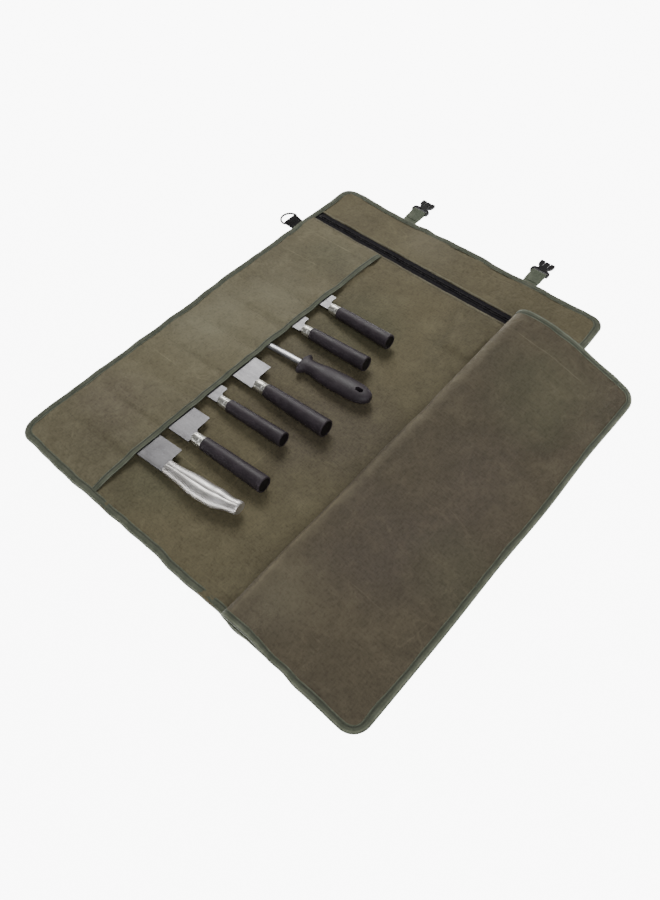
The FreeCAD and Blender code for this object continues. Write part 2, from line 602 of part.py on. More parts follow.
def blade_outline(heel, spine, edge, length):
    """Spine, drooping tip, bellied edge, and a heel with a rounded notch behind it."""
    depth = edge - spine
    notch = min(6.0, depth * 0.16)
    rear = -heel + 5.0
    tip = -heel - length
    start, low = Vector(rear, spine, 0), Vector(rear, 7.0, 0)
    corner = Vector(-heel, 7.0 + notch, 0)
    heel_end = Vector(-heel, edge - 0.6, 0)
    heel_out = Vector(-heel - 0.8, edge, 0)
    belly_start = Vector(-heel - length * 0.35, edge, 0)
    belly_mid = Vector(-heel - length * 0.78, edge - depth * 0.24, 0)
    point = Vector(tip, spine + depth * 0.22, 0)
    droop_mid = Vector(tip + length * 0.10, spine + depth * 0.035, 0)
    droop_start = Vector(tip + length * 0.30, spine, 0)
    bend = Vector(-heel + (rear + heel) * 0.3, 7.0 + notch * 0.3, 0)
    return Part.Wire([
        Part.LineSegment(start, low).toShape(),
        Part.Arc(low, bend, corner).toShape(),
        Part.LineSegment(corner, heel_end).toShape(),
        Part.LineSegment(heel_end, heel_out).toShape(),
        Part.LineSegment(heel_out, belly_start).toShape(),
        Part.Arc(belly_start, belly_mid, point).toShape(),
        Part.Arc(point, droop_mid, droop_start).toShape(),
        Part.LineSegment(droop_start, start).toShape(),
    ])


def blade(heel, spine, edge, length, collar, tang_length):
    """A flat blade, thinning from spine to edge, with its tang."""
    half = BLADE_THICKNESS / 2
    sheet = Part.Face(blade_outline(heel, spine, edge, length)).extrude(Vector(0, 0, 2 * half))
    sheet.translate(Vector(0, 0, -half))
    thin = 0.2
    taper = [(spine - 1, -half), (spine + 4, -half), (edge + 0.5, -thin), (edge + 0.5, thin),
             (spine + 4, half), (spine - 1, half)]
    sheet = sheet.common(prism(taper, "x", -heel - length - 2, length + heel + 2))
    tang = block(-collar - 3, tang_length, -TANG_HALF_DEPTH, TANG_HALF_DEPTH,
                 -TANG_THICKNESS / 2, TANG_THICKNESS / 2)
    return sheet.fuse(tang).removeSplitter()


def tang_slot(shape, reach):
    """Cuts the room that the tang needs, up to reach and through the front."""
    half_depth = TANG_HALF_DEPTH + TANG_ROOM
    half_height = TANG_THICKNESS / 2 + TANG_ROOM
    return shape.cut(block(-60, reach + 0.5, -half_depth, half_depth, -half_height, half_height))


def ferrule(length, radius):
    """A steel collar with a shallow groove near the handle."""
    r = radius
    profile = [(-length, r * 0.70), (-length + 1.2, r * 0.80), (-length + 4, r * 0.84),
               (-5.2, r * 0.86), (-4.6, r * 0.82), (-3.6, r * 0.82), (-3.0, r * 0.87),
               (-0.4, r * 0.90), (0, r * 0.88)]
    collar = turned(profile)
    return tang_slot(collar, 0)


def cylinder_handle(length, front, rear, tang_length):
    """A moulded grip, growing slightly to a flat end with a recess for its cap."""
    profile = [(0.05, front - 0.9), (0.35, front - 0.3), (1.0, front)]
    steps = 6
    for step in range(1, steps):
        share = step / steps
        profile.append((length * share, front + (rear - front) * share ** 0.8))
    profile += [(length - 1.8, rear), (length - 0.8, rear - 0.15), (length - 0.2, rear - 0.5),
                (length, rear - 1.1), (length, rear - CAP_RIM), (length - CAP_DEPTH, rear - CAP_RIM)]
    return tang_slot(turned(profile), tang_length)


def end_cap(length, rear):
    r = rear - CAP_RIM - 0.1
    return turned([(length - CAP_DEPTH, r), (length - 0.5, r), (length - 0.25, r - 0.3)])


def knives():
    pieces = {}
    for name, k in KNIVES.items():
        tang_length = k["grip"] * TANG_SHARE
        raw = {
            name + "_blade": blade(k["heel"], k["spine"], k["edge"], k["length"], k["collar"],
                                   tang_length),
            name + "_ferrule": ferrule(k["collar"], k["front"]),
            name + "_handle": cylinder_handle(k["grip"], k["front"], k["rear"], tang_length),
            name + "_end_cap": end_cap(k["grip"], k["rear"]),
        }
        for node, shape in raw.items():
            pieces[node] = set_down(shape, k["front_x"], k["axis_y"], k["turn"], k["front"],
                                    k["heel"] + k["length"], BLADE_THICKNESS / 2)
    return pieces


# the all-steel knife
STEEL_KNIFE = dict(front_x=197.0, axis_y=88.6, turn=3.0, radius=8.4, spine=-10.6, edge=27.4,
                   heel=4.0, length=158.0, tang_length=60.0)


def steel_knife():
    """A blade and a curved steel grip. Each section is (x, y, half width, half height)."""
    k = STEEL_KNIFE
    sections = [(0.0, -1.0, 9.4, 6.8), (10.0, -0.9, 9.8, 7.8), (27.0, -0.6, 11.2, 8.8),
                (50.0, -0.2, 13.6, 9.8), (72.0, 1.2, 13.4, 9.7), (91.0, 4.0, 11.0, 8.5),
                (103.0, 6.4, 9.6, 7.8), (110.0, 7.8, 9.2, 7.6), (112.0, 8.1, 8.2, 6.8)]
    grip = Part.makeLoft([grooved(*section) for section in sections], True)
    raw = {
        "knife_a_blade": blade(k["heel"], k["spine"], k["edge"], k["length"], k["heel"],
                               k["tang_length"]),
        "knife_a_handle": tang_slot(grip, k["tang_length"]),
    }
    return {node: set_down(shape, k["front_x"], k["axis_y"], k["turn"], k["radius"],
                           k["heel"] + k["length"], BLADE_THICKNESS / 2)
            for node, shape in raw.items()}


# the sharpening steel
STEEL = dict(front_x=208.0, axis_y=317.6, turn=4.2, guard_y=17.4, guard_z=8.0, rod_y=5.2, rod_z=2.5,
             rod_length=144.0, grip=112.5)


def sharpening_steel():
    """A flattened rod, a guard with two horns and a waisted grip with a hanging hole."""
    s = STEEL
    bar = [(-s["rod_length"], 0, s["rod_y"] * 0.5, s["rod_z"] * 0.6),
           (-s["rod_length"] + 5, 0, s["rod_y"], s["rod_z"]), (12.0, 0, s["rod_y"], s["rod_z"])]
    rod_piece = lofted(bar, True)
    guard = lofted([(0.0, 0, 10.0, 6.2), (0.6, 0, 13.2, 7.0), (1.8, 0, 16.2, 7.6),
                    (3.6, 0, s["guard_y"], s["guard_z"]), (5.8, 0, 16.4, 7.9), (8.0, 0, 13.8, 7.8),
                    (10.0, 0, 11.8, 7.7), (11.0, 0, 11.3, 7.6)], True)
    grip = lofted([(11.1, 0, 11.3, 7.6), (20.0, 0, 11.2, 8.1), (32.0, 0, 13.0, 8.9),
                   (50.0, 0, 15.0, 9.5), (72.0, 0, 15.5, 9.6), (90.0, 0, 15.0, 9.0),
                   (101.0, 0, 13.2, 8.1), (108.0, 0, 9.8, 6.7), (s["grip"], 0, 5.0, 4.2)])
    room = (s["rod_y"] + TANG_ROOM, s["rod_z"] + TANG_ROOM)
    bore = lofted([(-1.0, 0, *room), (12.2, 0, *room)], True)
    hole = plate(90.0, 101.0, -3.2, 3.2, -20, 20, 3.15)
    raw = {"steel_rod": rod_piece, "steel_guard": guard.cut(bore),
           "steel_handle": grip.cut(bore).cut(hole)}
    return {node: set_down(shape, s["front_x"], s["axis_y"], s["turn"], s["guard_z"],
                           s["rod_length"], s["rod_z"]) for node, shape in raw.items()}


# ---- the whole roll -----------------------------------------------------------------------------------
def base_nodes():
    return {
        "outer_shell": outer_shell(), "inner_lining": inner_lining(), "zip_facing": zip_facing(),
        "edge_binding": edge_binding(), "pocket_panel": pocket_panel(),
        "pocket_seams": pocket_seams(), "pocket_binding": pocket_binding(),
        "zip_tape_front": zip_tape(-1), "zip_tape_rear": zip_tape(1),
        "zip_coil_front": zip_coil(-1), "zip_coil_rear": zip_coil(1),
        "zip_stops": zip_stops(), "zip_slider": zip_slider(), "zip_pull": zip_pull(),
    }


def flap_nodes():
    return {
        "flap_root_panel": flap_root(),
        "flap_fold_panel": flap_canvas(FOLD_LINES),
        "flap_mid_panel": flap_canvas(MID_LINES),
        "flap_mid_binding": flap_edge_tape(MID_LINES),
        "flap_tip_panel": flap_canvas(TIP_LINES),
        "flap_tip_binding": flap_edge_tape(TIP_LINES),
    }


def fitting_nodes():
    nodes = {}
    for side, name in ((-1, "left"), (1, "right")):
        nodes["ring_tab_" + name] = ring_tab(side)
        nodes["d_ring_" + name] = d_ring(side)
    for name, offset in zip(STRAP_NAMES, STRAP_FROM_LEFT):
        x = LEFT + offset
        nodes["outer_strap_" + name] = outer_strap(x)
        nodes["strap_end_" + name] = strap_stub(x)
        nodes["buckle_plug_" + name] = buckle_plug(x)
        nodes["buckle_socket_" + name] = buckle_socket(x)
    return nodes


def main():
    os.makedirs("parts", exist_ok=True)
    nodes = {}
    for group in (base_nodes(), flap_nodes(), fitting_nodes(), knives(), steel_knife(),
                  sharpening_steel()):
        nodes.update(group)
    for name, shape in nodes.items():
        save(name, shape)
    print(len(nodes), "nodes")
    for name, k in KNIVES.items():
        print("slide", name, ["%.5f" % v for v in slide_axis(
            k["turn"], k["front"], k["heel"] + k["length"], BLADE_THICKNESS / 2)])
    k, s = STEEL_KNIFE, STEEL
    print("slide knife_a", ["%.5f" % v for v in slide_axis(
        k["turn"], k["radius"], k["heel"] + k["length"], BLADE_THICKNESS / 2)])
    print("slide steel", ["%.5f" % v for v in slide_axis(
        s["turn"], s["guard_z"], s["rod_length"], s["rod_z"])])


main()
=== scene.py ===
import math

import bpy
import numpy as np
from mathutils import Matrix, Vector
from mathutils.bvhtree import BVHTree


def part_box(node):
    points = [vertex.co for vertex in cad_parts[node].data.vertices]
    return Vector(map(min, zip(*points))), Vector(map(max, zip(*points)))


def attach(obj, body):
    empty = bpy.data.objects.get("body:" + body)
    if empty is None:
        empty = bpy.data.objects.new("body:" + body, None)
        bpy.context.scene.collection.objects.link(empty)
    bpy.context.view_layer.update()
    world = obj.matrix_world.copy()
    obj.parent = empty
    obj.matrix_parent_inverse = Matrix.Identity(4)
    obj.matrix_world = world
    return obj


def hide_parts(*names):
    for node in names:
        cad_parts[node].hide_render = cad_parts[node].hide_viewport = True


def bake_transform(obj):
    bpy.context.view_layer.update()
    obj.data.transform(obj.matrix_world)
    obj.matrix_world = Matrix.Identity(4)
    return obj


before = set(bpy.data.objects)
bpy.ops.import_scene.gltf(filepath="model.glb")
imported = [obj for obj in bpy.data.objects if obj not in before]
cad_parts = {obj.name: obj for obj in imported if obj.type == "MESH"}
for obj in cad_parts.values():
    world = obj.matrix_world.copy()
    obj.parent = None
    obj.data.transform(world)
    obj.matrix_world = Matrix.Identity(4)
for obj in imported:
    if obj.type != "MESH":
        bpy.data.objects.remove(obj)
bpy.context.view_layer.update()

# A waxed-canvas knife roll, laid open. Lengths are millimetres in the part's own frame, and MM turns
# them into the scene's metres. +X runs towards the flap, +Y towards the buckles, +Z up.
MM = 0.001


def box(node):
    low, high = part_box(node)
    return np.array(low) / MM, np.array(high) / MM


# ---- places, read from the frame ---------------------------------------------------------------
(LEFT, FRONT, _), (RIGHT, REAR, BINDING_TOP) = box("edge_binding")
CANVAS = 0.9                # one layer of waxed canvas
TAPE = 1.0                  # binding tape and webbing
SHELL_LOW = TAPE            # the shell's border lies on the binding's lower leg
SINK_INSET = 14.0           # inside this border the shell lies on the table
SINK_REAR = REAR - 200.0    # in front of the straps, which hold it up
LINING_LOW = box("inner_lining")[0][2]
LINING_TOP = LINING_LOW + CANVAS
LINING_REAR = box("inner_lining")[1][1]
FACING_FRONT = box("zip_facing")[0][1]
BINDING_WIDTH = 10.0
CORNER_RADIUS = 22.0
POCKET_OPENING = box("pocket_panel")[1][0]
SOCKETS = [box("buckle_socket_" + side) for side in ("left", "right")]
HUMPS = [((low[0] + high[0]) / 2, (low[1] + high[1]) / 2) for low, high in SOCKETS]
HUMP_FOOT = (31.0, 40.0)
HUMP_CROWN = (18.0, 20.0)
HUMP_RISE = 5.0
WEBBING = 24.0
WEBBING_DEPTH = 0.98
WEBBING_LOOP = 2.2          # radius of a strap round a buckle's bar
FLAP_FRONT, FLAP_REAR = box("flap_root_panel")[0][1], box("flap_root_panel")[1][1]
FLAP_EDGE = box("flap_tip_panel")[1][0] + TAPE
ZIP_Y = (LINING_REAR + FACING_FRONT) / 2
SLIDER_FOOT = box("zip_slider")[0][2]
SLIDER_ROOM = 0.35          # between the slider's lower plate and the shell
SLIDER_PATH = 9.5           # half width of the strip of shell kept low under it
RING_Y = (box("ring_tab_left")[0][1] + box("ring_tab_left")[1][1]) / 2


# ---- shapes of waves ---------------------------------------------------------------------------
def smooth(t):
    t = np.clip(t, 0, 1)
    return t * t * (3 - 2 * t)


def ripples(x, y, wavelength, seed, count=16):
    """Smooth random waves, mostly between -1 and 1."""
    rng = np.random.RandomState(seed)
    total = np.zeros(np.broadcast(x, y).shape)
    for _ in range(count):
        turn, phase = rng.uniform(0, 2 * np.pi, 2)
        length = wavelength * rng.uniform(0.7, 1.6)
        total += np.cos((x * np.cos(turn) + y * np.sin(turn)) * 2 * np.pi / length + phase)
    return total / math.sqrt(count)


def ridges(x, y, wavelength, seed, sharpness=5.0):
    """Narrow raised creases along the zero lines of a wave."""
    return np.exp(-(ripples(x, y, wavelength, seed) * sharpness) ** 2)


# ---- meshes ------------------------------------------------------------------------------------
class Build:
    """Gathers quads in millimetres, with a cloth map in metres, and makes one object of them."""

    def __init__(self):
        self.points, self.maps, self.quads, self.slots = [], [], [], []
        self.count = 0

    def add(self, points, maps, quads, slot=0):
        self.points.append(np.asarray(points, float).reshape(-1, 3))
        self.maps.append(np.asarray(maps, float).reshape(-1, 2))
        self.quads.append(np.asarray(quads, int).reshape(-1, 4) + self.count)
        self.slots.append(np.full(len(self.quads[-1]), slot))
        self.count += len(self.points[-1])

    def grid(self, points, maps, around=False, slot=0):
        """A sheet of quads; around joins the last column to the first."""
        rows, columns = points.shape[:2]
        number = np.arange(rows * columns).reshape(rows, columns)
        if around:
            number = np.concatenate([number, number[:, :1]], axis=1)
        quads = np.stack([number[:-1, :-1], number[1:, :-1], number[1:, 1:], number[:-1, 1:]], -1)
        self.add(points, maps, quads, slot)

    def slab(self, top, bottom, maps, slot=0):
        """A closed sheet between two grids of points."""
        rows, columns = top.shape[:2]
        size = rows * columns
        number = np.arange(size).reshape(rows, columns)
        up = np.stack([number[:-1, :-1], number[1:, :-1], number[1:, 1:], number[:-1, 1:]], -1)
        down = up[..., ::-1] + size
        rim = np.concatenate([number[:-1, 0], number[-1, :-1], number[:0:-1, -1], number[0, :0:-1]])
        after = np.roll(rim, -1)
        side = np.stack([rim, rim + size, after + size, after], -1)
        quads = np.concatenate([up.reshape(-1, 4), down.reshape(-1, 4), side])
        self.add(np.concatenate([top.reshape(-1, 3), bottom.reshape(-1, 3)]),
                 np.concatenate([maps.reshape(-1, 2)] * 2), quads, slot)

    def tube(self, rings, maps, slot=0, looped=False):
        """Closed sections in a row; the ends are capped unless the row is looped."""
        rings, maps = np.asarray(rings, float), np.asarray(maps, float)
        if looped:
            rings = np.concatenate([rings, rings[:1]])
            maps = np.concatenate([maps, maps[:1]])
        self.grid(rings, maps, around=True, slot=slot)
        if looped:
            return
        sides = rings.shape[1]
        for ring, chart, turned in ((rings[0], maps[0], False), (rings[-1], maps[-1], True)):
            order = [(k, k + 1, sides - 2 - k, sides - 1 - k) for k in range(sides // 2 - 1)]
            quads = np.array(order)
            self.add(ring, chart, quads[:, ::-1] if turned else quads, slot)

    def object(self, name, materials, crease=40):
        mesh = bpy.data.meshes.new(name)
        points = np.concatenate(self.points) * MM
        quads = np.concatenate(self.quads)
        mesh.from_pydata(points.tolist(), [], quads.tolist())
        charts = np.concatenate(self.maps) * MM
        layer = mesh.uv_layers.new(name="cloth")
        layer.data.foreach_set("uv", charts[quads.ravel()].ravel())
        for material in materials:
            mesh.materials.append(material)
        mesh.polygons.foreach_set("material_index", np.concatenate(self.slots))
        mesh.validate()
        mesh.shade_smooth()
        mesh.set_sharp_from_angle(angle=math.radians(crease))
        made = bpy.data.objects.new(name, mesh)
        bpy.context.scene.collection.objects.link(made)
        return made


def unit(v):
    return v / np.maximum(np.linalg.norm(v, axis=-1, keepdims=True), 1e-9)


def run_along(points):
    """Distance along a row of points, from 0 at the first."""
    return np.concatenate([[0], np.cumsum(np.linalg.norm(np.diff(points, axis=0), axis=1))])


def upward(count):
    return np.tile([0, 0, 1.0], (count, 1))


def stitch_row(build, points, normals, slot, pitch=3.4, length=2.3, radius=0.27):
    """Thread lying on a surface, one short rounded stitch after another."""
    run = run_along(points)
    centres = np.arange(pitch / 2, run[-1] - pitch / 2, pitch)
    shape = ((-0.5, 0.25), (-0.42, 0.8), (0.0, 1.0), (0.42, 0.8), (0.5, 0.25))
    turn = np.arange(6) * np.pi / 3

    def at(place, rows):
        return np.stack([np.interp(place, run, rows[:, k]) for k in range(3)], -1)

    for centre in centres:
        middle, up = at(centre, points), unit(at(centre, normals))
        along = unit(at(min(centre + 1, run[-1]), points) - at(max(centre - 1, 0), points))
        side = unit(np.cross(up, along))
        rings = []
        for share, wide in shape:
            ring = middle + along * share * length
            round_it = side * np.cos(turn)[:, None] + up * (0.75 * np.sin(turn)[:, None] + 0.35)
            rings.append(ring + round_it * radius * wide)
        build.tube(rings, np.tile([centre, 0.0], (len(shape), 6, 1)), slot)


def ribbon(build, path, width_axis, width):
    """Webbing: a flat strip with rounded edges along a path, its width along one fixed axis."""
    path = np.asarray(path, float)
    along = unit(np.gradient(path, axis=0))
    across = np.asarray(width_axis, float)
    normal = unit(np.cross(along, across))
    turn = (np.arange(28) + 0.5) * 2 * np.pi / 28
    wide = np.sign(np.cos(turn)) * np.abs(np.cos(turn)) ** 0.35
    deep = np.sign(np.sin(turn)) * np.abs(np.sin(turn)) ** 0.6
    run = run_along(path)
    half = width / 2 * (1 + 0.02 * ripples(run, run * 0, 14, 5))
    rings = (path[:, None] + across * (wide[None, :, None] * half[:, None, None])
             + normal[:, None] * (deep[None, :, None] * WEBBING_DEPTH / 2))
    maps = np.stack(np.broadcast_arrays(run[:, None], (wide * width / 2)[None]), -1)
    build.tube(rings, maps)


def rounded_path(points, spacing=1.0):
    """A polyline with its corners cut smooth and evenly spaced points."""
    points = np.asarray(points, float)
    for _ in range(2):
        cut = [points[0]]
        for a, b in zip(points, points[1:]):
            cut += [a * 0.75 + b * 0.25, a * 0.25 + b * 0.75]
        points = np.array(cut + [points[-1]])
    run = run_along(points)
    places = np.linspace(0, run[-1], max(int(run[-1] / spacing), 4))
    return np.stack([np.interp(places, run, points[:, k]) for k in range(points.shape[1])], -1)


def arc_points(centre, radius, start, end, count=14):
    """Points of an arc in a plane, angles in degrees."""
    turn = np.radians(np.linspace(start, end, count))
    return [(centre[0] + radius * np.cos(t), centre[1] + radius * np.sin(t)) for t in turn]


# ---- materials ---------------------------------------------------------------------------------
class Net:
    """A material's nodes, fed by the cloth map or by the object's own coordinates."""

    def __init__(self, name, source="cloth"):
        self.material = bpy.data.materials.new(name)
        self.material.use_nodes = True
        self.tree = self.material.node_tree
        self.shader = self.tree.nodes["Principled BSDF"]
        if source == "cloth":
            chart = self.tree.nodes.new("ShaderNodeUVMap")
            chart.uv_map = "cloth"
            self.place = chart.outputs["UV"]
        else:
            self.place = self.tree.nodes.new("ShaderNodeTexCoord").outputs["Object"]

    def node(self, kind, settings=(), **inputs):
        made = self.tree.nodes.new(kind)
        for name, value in dict(settings).items():
            setattr(made, name, value)
        for name, value in inputs.items():
            self.feed(made.inputs[name.replace("_", " ")], value)
        return made

    def feed(self, socket, value):
        if isinstance(value, bpy.types.NodeSocket):
            self.tree.links.new(value, socket)
        else:
            socket.default_value = value

    def stretched(self, x, y, z=1.0, turn=0.0):
        made = self.node("ShaderNodeMapping", Vector=self.place, Scale=(x, y, z),
                         Rotation=(0, 0, math.radians(turn)))
        return made.outputs["Vector"]

    def noise(self, scale, detail=3.0, roughness=0.5, distortion=0.0, place=None):
        made = self.node("ShaderNodeTexNoise", Vector=place or self.place, Scale=scale,
                         Detail=detail, Roughness=roughness, Distortion=distortion)
        return made.outputs["Fac"]

    def bands(self, pitch, direction, distortion=0.0):
        """Even stripes, one every pitch metres."""
        made = self.node("ShaderNodeTexWave", {"bands_direction": direction},
                         Vector=self.place, Scale=0.314 / pitch, Distortion=distortion)
        return made.outputs["Fac"]

    def cracks(self, scale, width, wobble=0.02):
        """Thin lines round irregular patches, 1 on the line and 0 away from it."""
        bend = self.node("ShaderNodeTexNoise", Vector=self.place, Scale=scale * 1.7, Detail=3.0)
        moved = self.node("ShaderNodeVectorMath", {"operation": "MULTIPLY_ADD"})
        self.feed(moved.inputs[0], bend.outputs["Color"])
        self.feed(moved.inputs[1], (wobble,) * 3)
        self.feed(moved.inputs[2], self.place)
        cells = self.node("ShaderNodeTexVoronoi", {"feature": "DISTANCE_TO_EDGE"},
                          Vector=moved.outputs["Vector"], Scale=scale)
        return self.range(cells.outputs["Distance"], 0.0, width, 1.0, 0.0)

    def range(self, value, low, high, to_low=0.0, to_high=1.0):
        made = self.node("ShaderNodeMapRange", {"clamp": True})
        for name, number in (("From Min", low), ("From Max", high), ("To Min", to_low),
                             ("To Max", to_high)):
            made.inputs[name].default_value = number
        self.feed(made.inputs["Value"], value)
        return made.outputs["Result"]

    def math(self, operation, a, b=0.0):
        made = self.node("ShaderNodeMath", {"operation": operation})
        self.feed(made.inputs[0], a)
        self.feed(made.inputs[1], b)
        return made.outputs[0]

    def times(self, a, b):
        return self.math("MULTIPLY", a, b)

    def plus(self, a, b):
        return self.math("ADD", a, b)

    def minus(self, a, b):
        return self.math("SUBTRACT", a, b)

    def off(self, value, middle):
        """How far a value is from a middle one."""
        return self.math("ABSOLUTE", self.minus(value, middle))

    def mix(self, factor, a, b):
        made = self.node("ShaderNodeMix", {"data_type": "RGBA"})
        self.feed(made.inputs[0], factor)
        for socket, value in ((made.inputs[6], a), (made.inputs[7], b)):
            self.feed(socket, value if isinstance(value, bpy.types.NodeSocket) else (*value, 1.0))
        return made.outputs[2]

    def bump(self, height, depth, under=None, strength=1.0):
        """Relief of a depth in millimetres, over any relief already made."""
        made = self.node("ShaderNodeBump", Height=height, Distance=depth * MM, Strength=strength)
        if under is not None:
            self.feed(made.inputs["Normal"], under)
        return made.outputs["Normal"]

    def finish(self, colour, roughness, normal=None, **constants):
        self.feed(self.shader.inputs["Base Color"],
                  colour if isinstance(colour, bpy.types.NodeSocket) else (*colour, 1.0))
        self.feed(self.shader.inputs["Roughness"], roughness)
        if normal is not None:
            self.feed(self.shader.inputs["Normal"], normal)
        for name, value in constants.items():
            self.shader.inputs[name.replace("_", " ")].default_value = value
        return self.material


def shaded(colour, share):
    """A colour made darker or lighter."""
    return [min(c * share, 1.0) for c in colour]


def waxed_canvas(name, dark, mid, light, shift=0.0, patches=(), lines=()):
    """Plain-woven cotton, mottled by wax, with pale marks where the wax has cracked or rubbed off, and
    painted highlight and shade on its crumpled relief.

    A patch is (place, radius, colour, strength) and a line is (axis, place, half width, from, to,
    strength), both on the cloth map in millimetres.
    """
    net = Net(name)
    chart = net.place
    moved = net.node("ShaderNodeVectorMath", {"operation": "ADD"})
    net.feed(moved.inputs[0], net.place)
    net.feed(moved.inputs[1], (shift, shift * 0.7, 0))
    net.place = moved.outputs["Vector"]
    clouds = net.noise(5.5, 4.0, 0.55, 0.4)
    blotches = net.noise(26.0, 5.0, 0.62, 0.5)
    grain = net.noise(1.0, 3.0, 0.6, 0.0, net.stretched(140, 420))
    cross_grain = net.noise(1.0, 3.0, 0.6, 0.0, net.stretched(420, 140))
    speckle = net.noise(900.0, 2.0, 0.6)
    colour = net.mix(net.range(clouds, 0.38, 0.64), dark, mid)
    colour = net.mix(net.times(net.range(blotches, 0.46, 0.76), 0.5), colour, light)
    for place, radius, tint, strength in patches:
        away = net.node("ShaderNodeVectorMath", {"operation": "DISTANCE"})
        net.feed(away.inputs[0], chart)
        net.feed(away.inputs[1], (place[0] * MM, place[1] * MM, 0))
        reach = net.plus(away.outputs["Value"],
                         net.times(net.minus(clouds, 0.5), radius * MM * 2.2))
        inside = net.range(reach, radius * MM * 1.15, radius * MM * 0.25, 0.0, strength)
        colour = net.mix(inside, colour, tint)
    crumple = net.noise(42.0, 4.0, 0.55, 0.9)
    fine_crumple = net.noise(120.0, 3.0, 0.55, 0.7)
    # These three mixes paint highlight on the crests of the crumpled relief and shade in its hollows;
    # the bumps below raise the same relief.
    colour = net.mix(net.range(crumple, 0.54, 0.74, 0.0, 0.30), colour, light)
    colour = net.mix(net.range(crumple, 0.46, 0.28, 0.0, 0.28), colour, shaded(dark, 0.75))
    colour = net.mix(net.range(fine_crumple, 0.58, 0.76, 0.0, 0.22), colour, light)
    threads = net.plus(grain, cross_grain)
    colour = net.mix(net.range(threads, 0.78, 1.3, 0.0, 0.30), colour, light)
    colour = net.mix(net.range(threads, 1.0, 0.62, 0.0, 0.34), colour, shaded(dark, 0.55))
    patchy = net.range(net.noise(9.0, 2.0), 0.50, 0.66)
    pale = shaded(light, 1.5)
    creases = None
    for scale_x, scale_y, turn in ((4.0, 13.0, 24.0), (12.0, 4.0, 12.0), (7.0, 17.0, -38.0)):
        wave = net.noise(1.0, 4.0, 0.45, 0.35, net.stretched(scale_x, scale_y, 1.0, turn))
        line = net.range(net.off(wave, 0.5), 0.0, 0.011, 1.0, 0.0)
        creases = line if creases is None else net.math("MAXIMUM", creases, line)
    creases = net.times(creases, patchy)
    fine = net.times(net.cracks(60.0, 0.04, 0.012), net.range(blotches, 0.52, 0.7))
    colour = net.mix(net.times(creases, 0.17), colour, pale)
    colour = net.mix(net.times(fine, 0.14), colour, pale)
    colour = net.mix(net.range(speckle, 0.62, 0.8, 0.0, 0.18), colour, pale)
    if lines:
        across = net.node("ShaderNodeSeparateXYZ", Vector=chart)
    for axis, place, half_width, start, end, strength in lines:
        run = across.outputs[1 - axis]
        bent = net.plus(across.outputs[axis],
                        net.times(net.minus(clouds, 0.5), 0.010))
        away = net.off(bent, place * MM)
        near = net.range(away, half_width * MM, 0.0)
        begun = net.range(run, start * MM, (start + 25) * MM)
        ended = net.range(run, end * MM, (end - 25) * MM)
        mark = net.times(near, net.times(begun, ended))
        mark = net.times(mark, net.range(blotches, 0.36, 0.6, strength * 0.35, strength))
        colour = net.mix(mark, colour, pale)
    weave = net.times(net.minus(net.bands(0.00075, "X"), 0.5),
                     net.minus(net.bands(0.00075, "Y"), 0.5))
    normal = net.bump(weave, 0.12)
    normal = net.bump(threads, 0.25, normal)
    normal = net.bump(blotches, 1.2, normal, 0.6)
    normal = net.bump(crumple, 2.2, normal, 0.75)
    normal = net.bump(fine_crumple, 0.7, normal, 0.7)
    normal = net.bump(net.times(creases, -1.0), 0.3, normal, 0.8)
    rough = net.plus(net.range(clouds, 0.3, 0.7, 0.62, 0.76), net.range(speckle, 0.3, 0.7, 0, 0.1))
    return net.finish(colour, rough, normal, Sheen_Weight=0.04, Sheen_Roughness=0.5,
                      Specular_IOR_Level=0.28)


def woven_tape(name, colour, light, rib, depth=0.2, worn=0.35, sheen=0.08,
               rows=(), rims=()):
    """Ribbed tape or webbing; ribs stand every rib metres along its run.

    A row is a darker line, and a rim a rubbed pale line, both as the distance across its map in
    millimetres.
    Some rows are stitching pulled into the tape; the rows at the outer edge of the edge and flap tapes
    are painted shade.
    distance across its map in millimetres.
    """
    net = Net(name)
    ribs = net.bands(rib, "X", 0.6)
    warp = net.bands(rib * 0.8, "Y", 0.4)
    weave = net.times(net.minus(ribs, 0.5), net.minus(warp, 0.5))
    mottle = net.noise(60.0, 4.0, 0.6)
    fuzz = net.noise(1.0, 3.0, 0.65, 0.0, net.stretched(300, 1100))
    base = net.mix(net.range(mottle, 0.35, 0.7), colour, light)
    base = net.mix(net.range(weave, -0.12, -0.22, 0.0, 0.5), base, shaded(colour, 0.4))
    base = net.mix(net.range(fuzz, 0.52, 0.78, 0.0, worn), base, shaded(light, 1.6))
    across = net.node("ShaderNodeSeparateXYZ", Vector=net.place).outputs["Y"] if rows or rims else None
    broken = net.range(mottle, 0.3, 0.6, 0.45, 1.0)
    # Darker rows: stitching pulled into the tape, and painted shade where a row lies along the tape's
    # outer edge.
    for place in rows:
        away = net.off(across, place * MM)
        line = net.times(net.range(away, 0.0011, 0.0003), broken)
        base = net.mix(net.times(line, 0.72), base, shaded(colour, 0.28))
    for place in rims:
        away = net.off(across, place * MM)
        line = net.times(net.range(away, 0.0009, 0.0002), broken)
        base = net.mix(net.times(line, 0.6), base, shaded(light, 1.9))
    normal = net.bump(weave, depth)
    normal = net.bump(fuzz, 0.12, normal)
    normal = net.bump(mottle, 0.5, normal, 0.5)
    rough = net.range(fuzz, 0.3, 0.7, 0.72, 0.92)
    return net.finish(base, rough, normal, Sheen_Weight=sheen, Sheen_Roughness=0.6,
                      Specular_IOR_Level=0.25)


def thread(name, colour):
    net = Net(name, "object")
    twist = net.noise(1400.0, 2.0)
    base = net.mix(twist, shaded(colour, 0.6), colour)
    return net.finish(base, net.range(twist, 0.3, 0.7, 0.6, 0.85), net.bump(twist, 0.06))


